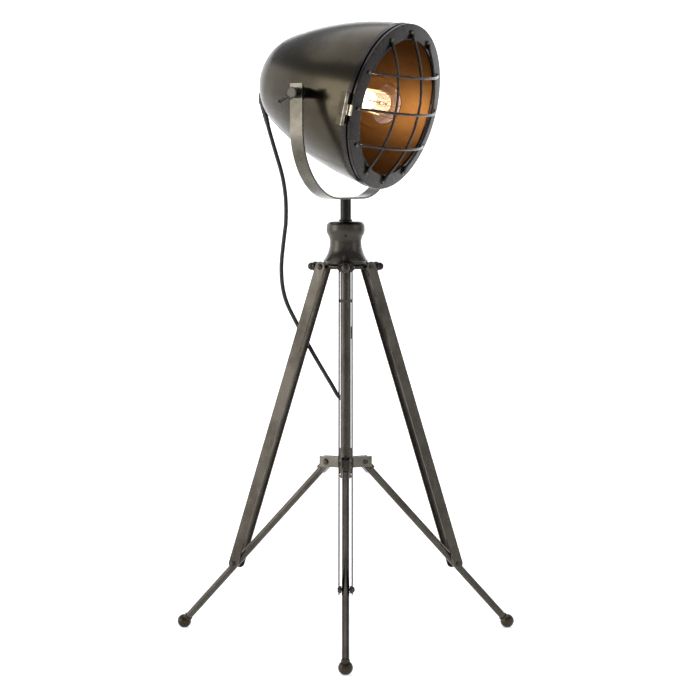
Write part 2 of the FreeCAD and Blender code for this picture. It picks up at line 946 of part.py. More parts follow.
def dome_point(radius):
    drop = size("bush_drop")
    return (size("dome_centre") - cosine(drop) * radius, 0, -(sine(drop) * radius))


def make_shade(outer, inner):
    cuts = [
        inner,
        cylinder("ShadeClampHole", size("clamp_shank") + 0.5, 220, (0, -110, 0), ALONG),
        cylinder(
            "ShadeBushHole",
            size("bush_radius") - 1 + PLAY,
            14,
            dome_point(size("dome_radius") - 10),
            dome_normal(),
        ),
    ]
    node("shade_shell", cut("ShadeShell", outer, cuts, HEAD))

    lip = LIP_RADIUS
    thick = size("band_thickness")
    width = size("band_width")
    band = [
        (lip + PLAY, 0),
        (lip + thick, 0),
        (lip + thick, width + thick - 0.5),
        (lip + thick - 0.5, width + thick, 0.5),
        (lip - size("shade_wall") - 0.1, width + thick),
        (lip - size("shade_wall") - 0.1, width),
        (lip + PLAY, width),
    ]
    place = Placement(Vector(size("lip_ahead").value - width.value, 0, 0), TURNED_AHEAD.Rotation)
    node("rim_band", turned("RimBand", band, HEAD * place))


def make_cable_bush(outer):
    """An elbow on the back of the dome whose nozzle points straight down at rest."""
    radius = size("bush_radius")
    elbow = dome_point(size("dome_radius") + size("bush_stand"))
    down = Vector(sine(size("head_tilt")).value, 0, -cosine(size("head_tilt")).value)
    flange = cylinder(
        "BushFlange", radius + 2.5, 8, dome_point(size("dome_radius") - 5.5), dome_normal()
    )
    solids = [
        cut("BushSeat", flange, [outer]),
        cylinder(
            "BushSpigot",
            radius - 1,
            size("bush_stand") + 6,
            dome_point(size("dome_radius") - 6),
            dome_normal(),
        ),
        cylinder(
            "BushNeck", radius, size("bush_stand") - 1, dome_point(size("dome_radius") + 1), dome_normal()
        ),
        ball("BushElbow", radius, elbow),
        cylinder("BushNozzle", radius, size("bush_nozzle"), elbow, down),
    ]
    node("cable_bush", fused("CableBush", solids, HEAD))


def make_trunnions(outer, inner):
    """Between shade and yoke: a neck with a disc, held by a nut inside the shade."""
    face = size("yoke_half") - size("yoke_thickness") - 0.3
    spacers = []
    nuts = []
    for side, sign in (("near", -1), ("far", 1)):
        toward = Vector(0, sign, 0)
        neck = cylinder(f"TrunnionNeck_{side}", 6.5, face - 80, (0, 80 * sign, 0), toward)
        disc = cylinder(f"TrunnionDisc_{side}", 10.5, 3, (0, (face - 3) * sign, 0), toward)
        stack = fused(f"TrunnionBlank_{side}", [neck, disc])
        bore = cylinder(
            f"TrunnionBore_{side}", size("clamp_shank") + PLAY, 40, (0, 76 * sign, 0), toward
        )
        spacers.append(cut(f"TrunnionSpacer_{side}", stack, [outer, bore]))
        start = size("clamp_inner") + 1
        nut = hexagon(f"NutBlank_{side}", 15.0, 12, (0, start * sign, 0), toward)
        seated = shared(f"NutSeated_{side}", [nut, inner])
        nuts.append(cut(f"TrunnionNut_{side}", seated, [bore]))
    node("trunnion_spacers", grouped("TrunnionSpacers", spacers, HEAD))
    node("trunnion_nuts", grouped("TrunnionNuts", nuts, HEAD))


# ---------------------------------------------------------------- hinge and catch


def make_hinge(outer):
    """A barrel of three knuckles at the mouth's near side, upright in the head frame."""
    ahead = size("hinge_ahead")
    side = -size("hinge_side")
    radius = size("knuckle_radius")
    length = size("knuckle_length")
    gap = size("knuckle_gap")
    middle_low = -length / 2 - size("hinge_drop")
    middle_high = middle_low + length
    pin_low = middle_low - length - gap
    pin_high = middle_high + length + gap
    bore = cylinder("HingeBore", size("hinge_pin_radius") + PLAY, 70, (ahead, side, pin_low - 10))

    leaf = box("HingeLeaf", (54, -101.9, pin_low + 4), (60, -94, pin_high - 4))
    band_back = (size("lip_ahead") - size("band_width") - PLAY, 0, 0)
    band_clearance = cylinder("HingeBandClearance", LIP_RADIUS + size("band_thickness") + PLAY, 30, band_back, AHEAD)
    shade_parts = [cut("HingeLeafSeat", leaf, [outer, band_clearance])]
    for end, low in (("upper", middle_high + gap), ("lower", pin_low)):
        high = low + length
        shade_parts.append(cylinder(f"Knuckle_{end}", radius, length, (ahead, side, low)))
        shade_parts.append(box(f"HingeLink_{end}", (55, side + 1.1, low), (ahead, side + 4.4, high)))
    node("hinge_leaf_shade", cut("HingeLeafShade", fused("HingeShadeBlank", shade_parts), [bore], HEAD))

    mouth = cylinder("HingeMouth", size("ring_radius"), 40, (50, 0, 0), AHEAD)
    plate = box("RingLeaf", (66.2, side + 2.2, middle_low), (71.4, side + 6, middle_high))
    ring_parts = [
        cylinder("Knuckle_middle", radius, length, (ahead, side, middle_low)),
        box("RingLink", (ahead + 0.5, side, middle_low), (67.6, side + 4, middle_high)),
        cut("RingLeafSeat", plate, [mouth]),
    ]
    node("hinge_leaf_ring", cut("HingeLeafRing", fused("HingeRingBlank", ring_parts), [bore], HEAD))

    pin = [
        cylinder("HingePinShank", size("hinge_pin_radius"), pin_high - pin_low, (ahead, side, pin_low)),
        cylinder("HingePinLower", 1.9, 0.6, (ahead, side, pin_low - 0.6)),
        cylinder("HingePinUpper", 1.9, 0.6, (ahead, side, pin_high)),
    ]
    node("hinge_pin", fused("HingePin", pin, HEAD))


def make_catch(outer):
    """A spring tongue beside the ring, opposite the hinge."""
    inner_face = size("ring_radius") + size("catch_gap")
    tongue = box("CatchTongue", (46, inner_face, -5), (70.5, inner_face + 0.8, 5))
    root_block = cut("CatchSeat", box("CatchRoot", (44, 94, -5), (56, inner_face + 0.8, 5)), [outer])
    node("catch_clip", fused("CatchClip", [tongue, root_block], HEAD))


# ---------------------------------------------------------------- guard


def make_ring():
    """A folded sheet ring whose face rises a little toward its opening, with a skirt into the shade."""
    skirt = size("skirt_radius")
    wall = size("ring_wall")
    back = size("ring_back") - size("skirt_back")
    face = size("ring_face") - size("skirt_back")
    rim = size("ring_radius")
    opening = size("ring_opening")
    crest = face + size("ring_rise")
    outline = [
        (skirt - wall, 0),
        (skirt, 0),
        (skirt, back),
        (rim, back),
        (rim, face - 1.2),
        (rim - 1.2, face, 1.2),
        (opening + 1.6, crest),
        (opening, crest - 1.6, 1.6),
        (opening, crest - 3),
        (opening + wall, crest - 3),
        (opening + wall + 0.4, crest - wall),
        (skirt - wall, face - 0.8),
    ]
    place = Placement(Vector(size("skirt_back").value, 0, 0), TURNED_AHEAD.Rotation)
    node("guard_ring", turned("GuardRing", outline, HEAD * place))


def ring_slope():
    """The ring's face, as rise for each millimetre inward."""
    return size("ring_rise") / (size("ring_radius") - 1.2 - size("ring_opening") - 1.6)


def seat_height():
    return size("ring_face") + ring_slope() * (size("ring_radius") - 1.2 - size("guard_seat"))


WIRE_REACH = size("guard_seat") - 2.5


def wire_path(ends, rise, across, offset):
    """An arc from one seat to the other over the mouth, in a plane at that offset."""
    seat = seat_height().value + 0.8 * size("wire_radius").value
    points = [(seat, -ends), (seat + rise, 0), (seat, ends)]
    if across == "upright":
        bent = [Vector(s, offset, t) for s, t in points]
    else:
        bent = [Vector(s, t, offset) for s, t in points]
    return Part.Wire([Part.Arc(*bent).toShape()]), bent[0]


def guard_rise(offset, middle_rise):
    """How far a wire at that offset stands above its ends, on one dome over the mouth."""
    dome = (WIRE_REACH.value**2 + middle_rise**2) / (2 * middle_rise)
    return math.sqrt(dome**2 - offset**2) - (dome - middle_rise)


def make_guard():
    seat = size("guard_seat")
    spread = size("guard_spread")
    slope = ring_slope().value
    wires = {"upright": [], "level": []}
    rivets = []
    layers = (
        ("upright", 0, size("guard_bulge")),
        ("level", size("guard_sag"), size("guard_bulge") + size("guard_lift")),
    )
    for across, middle, rise in layers:
        for step in (-1, 0, 1):
            offset = spread * step + middle
            ends = root(WIRE_REACH * WIRE_REACH - offset * offset).value
            path, start = wire_path(ends, guard_rise(offset.value, rise.value), across, offset.value)
            tangent = path.Edges[0].tangentAt(path.Edges[0].FirstParameter)
            section = Part.Wire([Part.Circle(start, tangent, size("wire_radius").value).toShape()])
            name = f"Wire_{across}_{step + 2}"
            solids = [loose(name, path.makePipeShell([section], True, True))]
            tab_side = root(seat * seat - offset * offset)
            for end, sign in (("low", -1), ("high", 1)):
                place = (offset, tab_side * sign) if across == "upright" else (tab_side * sign, offset)
                radial = Vector(0, place[0].value, place[1].value).normalize()
                normal = (AHEAD + radial * slope).normalize()
                at = (seat_height(), *place)
                solids.append(
                    cylinder(f"{name}_{end}_tab", size("tab_radius"), size("tab_thickness"), at, normal)
                )
                rivets.append(make_rivet(f"{name}_{end}", at, normal))
            wires[across].append(fused(name + "_ends", solids))
    node("guard_wires_upright", grouped("GuardWiresUpright", wires["upright"], HEAD))
    node("guard_wires_level", grouped("GuardWiresLevel", wires["level"], HEAD))
    node("guard_rivets", grouped("GuardRivets", rivets, HEAD))


def make_rivet(name, at, normal):
    """A small dome on the tab and a flat tail behind the ring's sheet."""
    radius = size("rivet_radius")
    on_tab = [as_size(v) + size("tab_thickness") * n for v, n in zip(at, normal)]
    tail = [as_size(v) - (size("ring_wall") + 0.8) * n for v, n in zip(at, normal)]
    crown = [v - 0.7 * n for v, n in zip(on_tab, normal)]
    dome = shared(
        name + "_dome",
        [ball(name + "_round", radius * 1.05, crown), cylinder(name + "_head", radius, 3, on_tab, normal)],
    )
    shank_length = size("tab_thickness") + size("ring_wall") + 0.8
    return fused(name + "_rivet", [dome, cylinder(name + "_shank", 1.1, shank_length, tail, normal)])


# ---------------------------------------------------------------- bulb and lampholder


def make_lampholder():
    back = size("holder_back")
    depth = size("holder_front") - back
    floor = size("cap_back") - 0.5 - back
    radius = size("holder_radius")
    strap_back = back - size("strap_thickness")
    dome = size("dome_radius") - size("shade_wall")
    behind = size("dome_centre") - strap_back
    half = root(dome * dome - behind * behind) - 0.1
    beside = size("strap_width") / 2
    strap = box("StrapBar", (strap_back, -half - 2, -beside), (back, half + 2, beside))
    trim = cylinder("StrapTrim", half, 10, (strap_back - 4, 0, 0), AHEAD)
    lead_hole = cylinder("StrapHole", 4, 10, (strap_back - 4, 0, 0), AHEAD)
    ends = shared("StrapEnds", [strap, trim])
    node("lampholder_strap", cut("LampholderStrap", ends, [lead_hole], HEAD))

    outline = [
        (radius - 4, 0),
        (radius, 0),
        (radius, depth - 1.5),
        (radius - 1.5, depth, 1.5),
        (size("cap_radius") + 0.1, depth),
        (size("cap_radius") + 0.1, floor),
        (0, floor),
        (0, floor - 4),
        (radius - 4, floor - 4),
    ]
    place = Placement(Vector(back.value, 0, 0), TURNED_AHEAD.Rotation)
    node("lampholder", turned("Lampholder", outline, HEAD * place))

    contacts = [cylinder("CentreContact", 4, 0.5, (size("cap_back") - 0.5, 0, 0), AHEAD)]
    for name, sign in (("Live", -1), ("Neutral", 1)):
        contacts.append(cylinder(f"{name}Terminal", 2.2, 6, (back + floor - 10, 9 * sign, 0), AHEAD))
    node("lampholder_contacts", grouped("LampholderContacts", contacts, HEAD))


def make_bulb():
    back = size("cap_back")
    radius = size("cap_radius")
    length = size("cap_front") - back
    floor = 9
    cap = [
        (0, 0),
        (4.8, 0),
        (4.8, 1.5),
        (radius - 3.5, 4.5),
        (radius, 7),
        (radius, length),
        (radius - 0.9, length),
        (radius - 0.9, floor),
        (0, floor),
    ]
    cap_place = Placement(Vector(back.value, 0, 0), TURNED_AHEAD.Rotation)
    node("bulb_cap", turned("BulbCap", cap, HEAD * cap_place))

    neck = radius - 1
    wall = size("bulb_wall")
    globe = size("bulb_radius")
    foot = back + floor
    centre = size("bulb_centre") - foot
    taper = size("bulb_taper")
    slope = sine(taper) / cosine(taper)
    shoulder = globe * cosine(taper)
    shoulder_height = centre - globe * sine(taper)
    neck_top = shoulder_height - (shoulder - neck) / slope
    inside = globe - wall
    glass = [
        (neck - wall, 0),
        (neck, 0),
        (neck, neck_top),
        (shoulder, shoulder_height),
        (0, centre + globe, globe),
        (0, centre + inside),
        (inside * cosine(taper), centre - inside * sine(taper), -inside),
        (neck - wall, neck_top),
    ]
    foot_place = Placement(Vector(foot.value, 0, 0), TURNED_AHEAD.Rotation)
    node("bulb_glass", turned("BulbGlass", glass, HEAD * foot_place))

    top = size("bulb_centre") + 9 - foot
    stem = [
        (0, 0),
        (neck - wall - 0.1, 0),
        (neck - wall - 0.1, 1.2),
        (4, 8),
        (4, 44),
        (1.4, 50),
        (1.4, top),
        (0, top),
    ]
    node("bulb_stem", turned("BulbStem", stem, HEAD * foot_place))
    make_filament()


def make_filament():
    """A cage of straight wires that run up and down around the stem, on short hooks at the front."""
    turns = 16
    low = size("cap_front") + 26
    high = size("bulb_centre") + 7
    wire = size("filament_radius")
    spots = []
    for i in range(turns):
        angle = Size(360 / turns * i, f"{360 / turns * i}")
        out = size("cage_radius") + (2 if i % 2 else -2)
        spots.append((high if i % 2 else low, cosine(angle) * out, sine(angle) * out))
    solids = []
    for i, spot in enumerate(spots):
        following = spots[(i + 1) % turns]
        way = Vector(*[b.value - a.value for a, b in zip(spot, following)])
        solids.append(cylinder(f"FilamentRun_{i}", wire, way.Length, spot, way))
        if i % 4 == 1:
            inward = Vector(0, -spot[1].value, -spot[2].value)
            solids.append(cylinder(f"FilamentHook_{i}", wire * 0.6, inward.Length - 1.0, spot, inward))
    node("bulb_filament", fused("BulbFilament", solids, HEAD))


# ---------------------------------------------------------------- cord and what is on it


# Across, behind and above the upright axis's foot, from the bush's nozzle to the hank.
UPPER_ROUTE = [
    (-100.98, 60.34, 650.25),
    (-95.4, 60.3, 626),
    (-86.2, 60.3, 594),
    (-75.6, 60.1, 559),
    (-71.8, 59.6, 524),
    (-72.98, 59.0, 503.3),
]
LOWER_ROUTE = [
    (-73.0, 59.0, 503),
    (-75.5, 58.3, 484),
    (-79.3, 57, 448),
    (-75.2, 53, 414),
    (-60.0, 48.5, 384),
    (-41.3, 40.0, 350),
    (-24.4, 30.0, 322),
    (-11.5, 22.0, 301),
    (-4.9, 19.0, 291),
]


def cord_path(name, route):
    """Straight runs joined by arcs as large as each pair of runs allows."""
    points = [Vector(x, AXIS_BACK.value + y, z) for x, y, z in route]
    edges = []
    radii = []
    start = points[0]
    for before, corner, after in zip(points, points[1:], points[2:]):
        into = (before - corner).normalize()
        out = (after - corner).normalize()
        half_turn = (math.pi - into.getAngle(out)) / 2
        tangent = 0.45 * min((before - corner).Length, (after - corner).Length)
        radii.append(tangent / math.tan(half_turn))
        first = corner + into * tangent
        last = corner + out * tangent
        centre_way = (into + out).normalize()
        centre = corner + centre_way * math.hypot(radii[-1], tangent)
        middle = centre - centre_way * radii[-1]
        edges.append(Part.LineSegment(start, first).toShape())
        edges.append(Part.Arc(first, middle, last).toShape())
        start = last
    edges.append(Part.LineSegment(start, points[-1]).toShape())
    print(name, "radii", " ".join(f"{r:.0f}" for r in radii))
    return Part.Wire(edges)


def make_cord(label, name, route):
    path = cord_path(label, route)
    radius = size("cord_radius").value
    first = path.Edges[0]
    section = Part.Circle(first.valueAt(first.FirstParameter), first.tangentAt(first.FirstParameter), radius)
    tube = path.makePipeShell([Part.Wire([section.toShape()])], True, True)
    expected = math.pi * radius**2 * path.Length
    print(f"{label} volume {tube.Volume:.0f}, section times length {expected:.0f}, length {path.Length:.1f}")
    if abs(tube.Volume / expected - 1) > 0.01:
        raise ValueError(f"{label}: the tube is not its section along its path")
    node(label, loose(name, tube))


def make_hank():
    """The outer shape of the spare cord, wound upright behind the post."""
    thick = size("hank_thickness")
    outer = size("hank_outer")
    inner = size("hank_inner")
    centre = AXIS_BACK + size("hank_behind")
    low = size("hank_low") + outer
    high = size("hank_high") - outer
    half = thick / 2
    rings = {}
    for kind, radius, side in (("Outer", outer, half), ("Inner", inner, half + 2)):
        rings[kind] = [
            box(f"Hank{kind}Runs", (-side, centre - radius, low), (side, centre + radius, high)),
            cylinder(f"Hank{kind}Low", radius, side * 2, (-side, centre, low), AHEAD),
            cylinder(f"Hank{kind}High", radius, side * 2, (-side, centre, high), AHEAD),
        ]
    node("cord_hank", cut("CordHank", fused("HankBlank", rings["Outer"]), rings["Inner"]))

    tie = size("tie_thickness")
    width = size("tie_width")
    post = size("post_radius") + 0.1
    bands = []
    for name, low_edge in (("Lower", low + 9), ("Upper", high - 13)):
        bands.append(
            band(
                f"{name}Tie",
                (-half, centre - outer, low_edge),
                (half, centre + outer, low_edge + width),
                tie,
            )
        )
    bands.append(
        band("PostTie", (-post, AXIS_BACK - post, high - 6), (post, centre - inner, high - 6 + width), tie)
    )
    node("cord_ties", grouped("CordTies", bands))


def band(name, low, high, thickness):
    """A flat band round a box, as high as the box."""
    outer_low = [low[0] - thickness, low[1] - thickness, low[2]]
    outer_high = [high[0] + thickness, high[1] + thickness, high[2]]
    inner_low = [low[0], low[1], low[2] - 1]
    inner_high = [high[0], high[1], high[2] + 1]
    outer = box(name + "_outer", outer_low, outer_high)
    return cut(name, outer, [box(name + "_inner", inner_low, inner_high)])


def make_plug():
    """A slim two-pin plug that hangs inside the hank, its pins down."""
    width = size("plug_width")
    length = size("plug_length")
    low = size("plug_low")
    centre = AXIS_BACK + size("hank_behind")
    thick = 11.6
    outline = [
        (0, 0),
        (width, 0),
        (width, length * 0.5),
        (width * 0.7, length),
        (width * 0.3, length),
        (0, length * 0.5),
    ]
    corner = Vector(-thick / 2, (centre - width / 2).value, low.value)
    body = padded("PlugBlock", outline, thick, Placement(corner, PADDED_ACROSS))
    sleeve = cylinder("PlugSleeve", 3.6, 7, (0, centre, low + length - 1))
    node("plug_body", fused("PlugBody", [body, sleeve]))
    pins = [
        cylinder(f"PlugPin_{side}", 2.0, 19, (0, centre + 9.3 * sign, low - 19))
        for side, sign in (("near", -1), ("far", 1))
    ]
    node("plug_pins", grouped("PlugPins", pins))


def make_switch():
    """An in-line switch on the hank's outer run, with a rocker on its side."""
    half = size("switch_thickness") / 2
    near = AXIS_BACK + size("hank_behind") + size("hank_outer") + 0.3
    far = near + size("switch_depth")
    low = size("switch_low")
    high = low + size("switch_length")
    middle = (near + far) / 2
    centre = (low + high) / 2
    body = fused(
        "SwitchBlock",
        [
            box("SwitchBox", (-half, near, low), (half, far, high)),
            cylinder("SwitchLowNipple", 3.6, 6, (0, middle, low - 6)),
            cylinder("SwitchHighNipple", 3.6, 6, (0, middle, high)),
        ],
    )
    cuts = [
        box("RockerWell", (half - 2.4, middle - 4.8, centre - 8.2), (half + 2, middle + 4.8, centre + 8.2)),
        cylinder("RockerPinHole", 0.8 + PLAY, 13, (half - 0.8, middle - 6.5, centre), ALONG),
    ]
    node("switch_body", cut("SwitchBody", body, cuts))
    rocker = [
        box("RockerPad", (half - 1.4, middle - 4.4, centre - 7.4), (half + 1, middle + 4.4, centre + 7.4)),
        cylinder("RockerPin", 0.8, 12, (half - 0.8, middle - 6, centre), ALONG),
    ]
    node("switch_rocker", fused("SwitchRocker", rocker))


# ---------------------------------------------------------------- the whole lamp


def make_lamp():
    make_hub()
    make_hub_base()
    make_stem()
    make_swivel_screw()
    make_post()
    make_arm_pins()
    make_spider()
    for leg in LEGS:
        make_arm(leg)
        make_upper_leg(leg)
        make_pivot_pin(leg)
        make_lower_leg(leg)
        make_foot(leg)
    make_yoke()
    make_clamp_screw("near", -1)
    make_clamp_screw("far", 1)
    outer = shade_blank("ShadeOuter", Size(0.0, "0"), size("lip_ahead"))
    inner = shade_blank("ShadeInner", size("shade_wall"), size("lip_ahead") + 5)
    make_shade(outer, inner)
    make_cable_bush(outer)
    make_trunnions(outer, inner)
    make_hinge(outer)
    make_catch(outer)
    make_ring()
    make_guard()
    make_lampholder()
    make_bulb()
    make_cord("cord_upper", "CordUpper", UPPER_ROUTE)
    make_cord("cord_lower", "CordLower", LOWER_ROUTE)
    make_hank()
    make_plug()
    make_switch()


def check_document():
    """Every object recomputed, every binding as worked out, every sub-part a valid solid."""
    doc.recompute()
    for thing in doc.Objects:
        if {"Invalid", "Error"} & set(thing.State):
            raise ValueError(f"{thing.Label} is {thing.State}")
    for thing, prop, wanted in BOUND:
        holder = thing
        for step in prop.split("."):
            holder = getattr(holder, step)
        if abs(float(holder) - wanted) > 1e-6:
            raise ValueError(f"{thing.Label}.{prop} is {holder}, not {wanted}")
    for part in NODES:
        shape = part.Shape
        if shape.isNull() or not shape.isValid() or not shape.Solids:
            raise ValueError(f"{part.Label} has no valid solid")


def export():
    os.makedirs("parts", exist_ok=True)
    for part in NODES:
        part.Shape.exportStep(f"parts/{part.Label}.step")
        print(f"{part.Label}: {len(part.Shape.Solids)} solid(s), {part.Shape.Volume:.0f} cubic mm")


make_lamp()
check_document()
export()
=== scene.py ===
# %% [markdown]
# # A tabletop searchlight lamp
# This notebook dresses a folding tripod spotlight. The metalwork is already there as a fixed
# frame of solids, in metres, with +Z up and the floor at zero. Each step adds one piece or one
# finish on top of that frame, and says how the real thing is made and why it is modelled so.

import math

import bmesh
import bpy
import numpy as np
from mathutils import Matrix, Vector


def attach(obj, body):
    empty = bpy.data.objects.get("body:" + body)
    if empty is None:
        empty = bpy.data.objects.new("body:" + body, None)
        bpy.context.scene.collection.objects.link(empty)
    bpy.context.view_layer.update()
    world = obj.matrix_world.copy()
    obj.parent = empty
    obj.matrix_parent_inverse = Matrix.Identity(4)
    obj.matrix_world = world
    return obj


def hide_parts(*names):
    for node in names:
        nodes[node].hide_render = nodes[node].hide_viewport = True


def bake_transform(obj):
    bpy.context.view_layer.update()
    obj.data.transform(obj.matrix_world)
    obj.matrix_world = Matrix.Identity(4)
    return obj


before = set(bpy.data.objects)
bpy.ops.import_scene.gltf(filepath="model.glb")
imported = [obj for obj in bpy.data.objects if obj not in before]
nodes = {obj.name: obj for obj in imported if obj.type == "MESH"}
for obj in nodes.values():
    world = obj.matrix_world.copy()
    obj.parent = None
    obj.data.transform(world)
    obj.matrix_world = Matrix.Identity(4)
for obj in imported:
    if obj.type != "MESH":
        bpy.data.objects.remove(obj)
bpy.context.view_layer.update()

# %% [markdown]
# ## The camera
# A product picture of a tall slim lamp is taken from far away with a long lens, so that the feet
# and the head keep their true proportions. The camera stands in front of the lamp, a little above
# the middle of it, and looks slightly down.

# %% Camera
MM = 0.001
AXIS_Y = 58.05 * MM  # how far the post's axis stands behind the frame's origin
CAMERA_DISTANCE, CAMERA_ACROSS, CAMERA_HEIGHT = 3.650, 2.8 * MM, 0.588
CAMERA_DOWN = math.radians(3.634)
LENS_LENGTH, SENSOR_WIDTH, VIEW_DEPTH = 157.5, 36, 100

lens = bpy.data.cameras.new("long_lens")
lens.lens = LENS_LENGTH
lens.sensor_width = SENSOR_WIDTH
lens.clip_end = VIEW_DEPTH
camera = bpy.data.objects.new("product_camera", lens)
camera.location = (CAMERA_ACROSS, AXIS_Y - CAMERA_DISTANCE, CAMERA_HEIGHT)
camera.rotation_euler = (math.pi / 2 - CAMERA_DOWN, 0, 0)
bpy.context.scene.collection.objects.link(camera)
bpy.context.scene.camera = camera
print("camera at", tuple(camera.location))

# %% [markdown]
# ## Grids into meshes
# Nearly every new piece here is a surface over two parameters: one runs along a profile or a path,
# the other runs round it. The points are worked out as one numpy array, and one helper turns such a
# grid into a mesh. Where a row shrinks to a point, as at a pole or a tube's end, its points are merged.

# %% Grid to mesh
SHARP_ANGLE = math.radians(38)
MERGE_DISTANCE = 1e-6


def full_turn(steps):
    """Angles once round, without the last one, which would be the first again."""
    return np.linspace(0, 2 * math.pi, steps, endpoint=False)


def closed_piece(name, grids, ring=False):
    """Each grid has shape (rows, columns, 3), and its columns close on themselves. The last row joins the
    first where the piece is a ring. Faces are turned outward when the sum of each triangle's triple
    product, which is six times the volume, comes out negative."""
    points = []
    faces = []
    start = 0
    for grid in grids:
        rows, columns, _ = grid.shape
        i, j = np.meshgrid(np.arange(rows if ring else rows - 1), np.arange(columns), indexing="ij")
        below, beside = (i + 1) % rows, (j + 1) % columns
        quads = np.stack(
            [i * columns + j, i * columns + beside, below * columns + beside, below * columns + j], axis=-1
        ).reshape(-1, 4)
        flat = grid.reshape(-1, 3)
        a, b, c, d = (flat[quads[:, k]] for k in range(4))
        volume = (np.cross(a, b) * c).sum() + (np.cross(a, c) * d).sum()
        if volume < 0:
            quads = quads[:, ::-1]
        points.append(flat)
        faces.append(quads + start)
        start += len(flat)
    mesh = bpy.data.meshes.new(name)
    mesh.from_pydata(np.concatenate(points).tolist(), [], np.concatenate(faces).tolist())
    work = bmesh.new()
    work.from_mesh(mesh)
    bmesh.ops.remove_doubles(work, verts=work.verts, dist=MERGE_DISTANCE)
    work.to_mesh(mesh)
    work.free()
    mesh.shade_smooth()
    mesh.set_sharp_from_angle(angle=SHARP_ANGLE)
    piece = bpy.data.objects.new(name, mesh)
    bpy.context.scene.collection.objects.link(piece)
    return piece


# %% [markdown]
# ## The cord's route
# The lamp's lead leaves the back of the shade and hangs behind the yoke. It ends behind the post, where
# the spare length is folded into a hank. A cord is one smooth bending line, so its route is a NURBS curve
# with a few control points, and everything on the cord is placed from points read off that curve.

# %% NURBS line
CORD_RADIUS = 2.5 * MM
LINE_RESOLUTION = 10


def smooth_line(control_points):
    """Points along the quadratic NURBS curve that those control points pull on, ends included."""
    data = bpy.data.curves.new("route", "CURVE")
    data.dimensions = "3D"
    data.resolution_u = LINE_RESOLUTION
    spline = data.splines.new("NURBS")
    spline.points.add(len(control_points) - 1)
    packed = np.column_stack([np.array(control_points), np.ones(len(control_points))])
    spline.points.foreach_set("co", packed.ravel())
    spline.order_u = 3
    spline.use_endpoint_u = True
    holder = bpy.data.objects.new("route", data)
    bpy.context.scene.collection.objects.link(holder)
    bpy.context.view_layer.update()
    mesh = bpy.data.meshes.new_from_object(holder)
    line = np.zeros(len(mesh.vertices) * 3)
    mesh.vertices.foreach_get("co", line)
    bpy.data.objects.remove(holder)
    bpy.data.meshes.remove(mesh)
    return line.reshape(-1, 3)


def behind_axis(points):
    """Millimetres across, behind the post's axis and up, as metres in the lamp's frame."""
    return np.array(points) * MM + np.array([0, AXIS_Y, 0])


def line_length(line):
    return float(np.linalg.norm(np.diff(line, axis=0), axis=1).sum())


UPPER_ROUTE = behind_axis(
    [
        (-100.98, 60.34, 650.25),
        (-95.4, 60.3, 626),
        (-86.2, 60.3, 594),
        (-75.6, 60.1, 559),
        (-71.8, 59.6, 524),
        (-73.02, 59.0, 502.7),
    ]
)
LOWER_ROUTE = behind_axis(
    [
        (-73.0, 59.0, 503),
        (-75.5, 58.3, 484),
        (-79.3, 57, 448),
        (-75.2, 53, 414),
        (-60.0, 48.5, 384),
        (-41.3, 40.0, 350),
        (-24.4, 28.8, 322),
    ]
)

# %% [markdown]
# ## The hank
# Spare lead is folded into a long loop and tied. Each turn is an upright racetrack: a half circle below,
# a run up, a half circle above and a run down. The first turn is wider, because its outer run goes
# through the in-line switch. The next turns lie beside it and inside it, and the lead moves from one turn
# to the next on its way down. The last turn leaves the loop at the top and comes down to the plug.

# %% Turns of the hank
HANK_Y, HANK_SIDE = 30.3, 2.6
HANK_LOW, HANK_HIGH = 312.7, 417.3
OUTER_TURN, INNER_TURN = 20.8, 15.7
SWITCH_TURN_Y, SWITCH_TURN = 36.7, 26.6
SWITCH_TURN_LOW, SWITCH_TURN_HIGH = 319.1, 410.9
CORNER_CUT = 0.983
ARC_STEP = 30


def racetrack(sides, centre, radius, low, high, start=-180):
    """Control points of one turn: an arc about (centre, low), then one about (centre, high). They lie a
    little outside that radius, as the curve cuts corners. The sideways place runs from the first of two
    sides, where the angle is 0, to the second, where it is 180: a + (b - a)(1 - cos) / 2."""
    below, above = np.arange(start, 1, ARC_STEP), np.arange(0, 181, ARC_STEP)
    turn = np.radians(np.concatenate([below, above]))
    height = np.concatenate([np.full(len(below), low), np.full(len(above), high)])
    side = sides[0] + (sides[1] - sides[0]) * (1 - np.cos(turn)) / 2
    pull = radius / CORNER_CUT
    return np.column_stack([side, centre + pull * np.cos(turn), height + pull * np.sin(turn)])


into_hank = [(-15.0, 24.0, 307), (-11.2, 25.8, 299.4), (-7.2, 31.4, 293.8), (-4.2, 39.0, 291.7)]
turns = [
    racetrack((0, -HANK_SIDE), SWITCH_TURN_Y, SWITCH_TURN, SWITCH_TURN_LOW, SWITCH_TURN_HIGH, start=-60),
    racetrack((HANK_SIDE, HANK_SIDE), HANK_Y, OUTER_TURN, HANK_LOW, HANK_HIGH),
    racetrack((HANK_SIDE, HANK_SIDE), HANK_Y, INNER_TURN, HANK_LOW, HANK_HIGH),
    racetrack((-HANK_SIDE, -HANK_SIDE), HANK_Y, INNER_TURN, HANK_LOW, HANK_HIGH),
]
to_plug = [(-2.4, 15.2, 404), (-1.2, 22.5, 394), (0, 30.1, 384), (0, HANK_Y, 372)]
hank_points = [behind_axis(points) for points in (into_hank, *turns, to_plug)]
upper_line = smooth_line(UPPER_ROUTE)
lower_line = smooth_line(np.concatenate([LOWER_ROUTE, *hank_points]))
print(f"upper cord {line_length(upper_line):.4f} m, lower cord {line_length(lower_line):.4f} m")

# %% [markdown]
# ## The cord's jacket
# A cord could be a curve with a bevel. A tube worked out as a grid shows plainly what that does: at each
# point of the line there is a circle at right angles to it. The line never runs straight across, so a
# sideways vector crossed with its direction always gives the circle's first axis.

# %% Tube along a line
ACROSS = np.array([1.0, 0.0, 0.0])


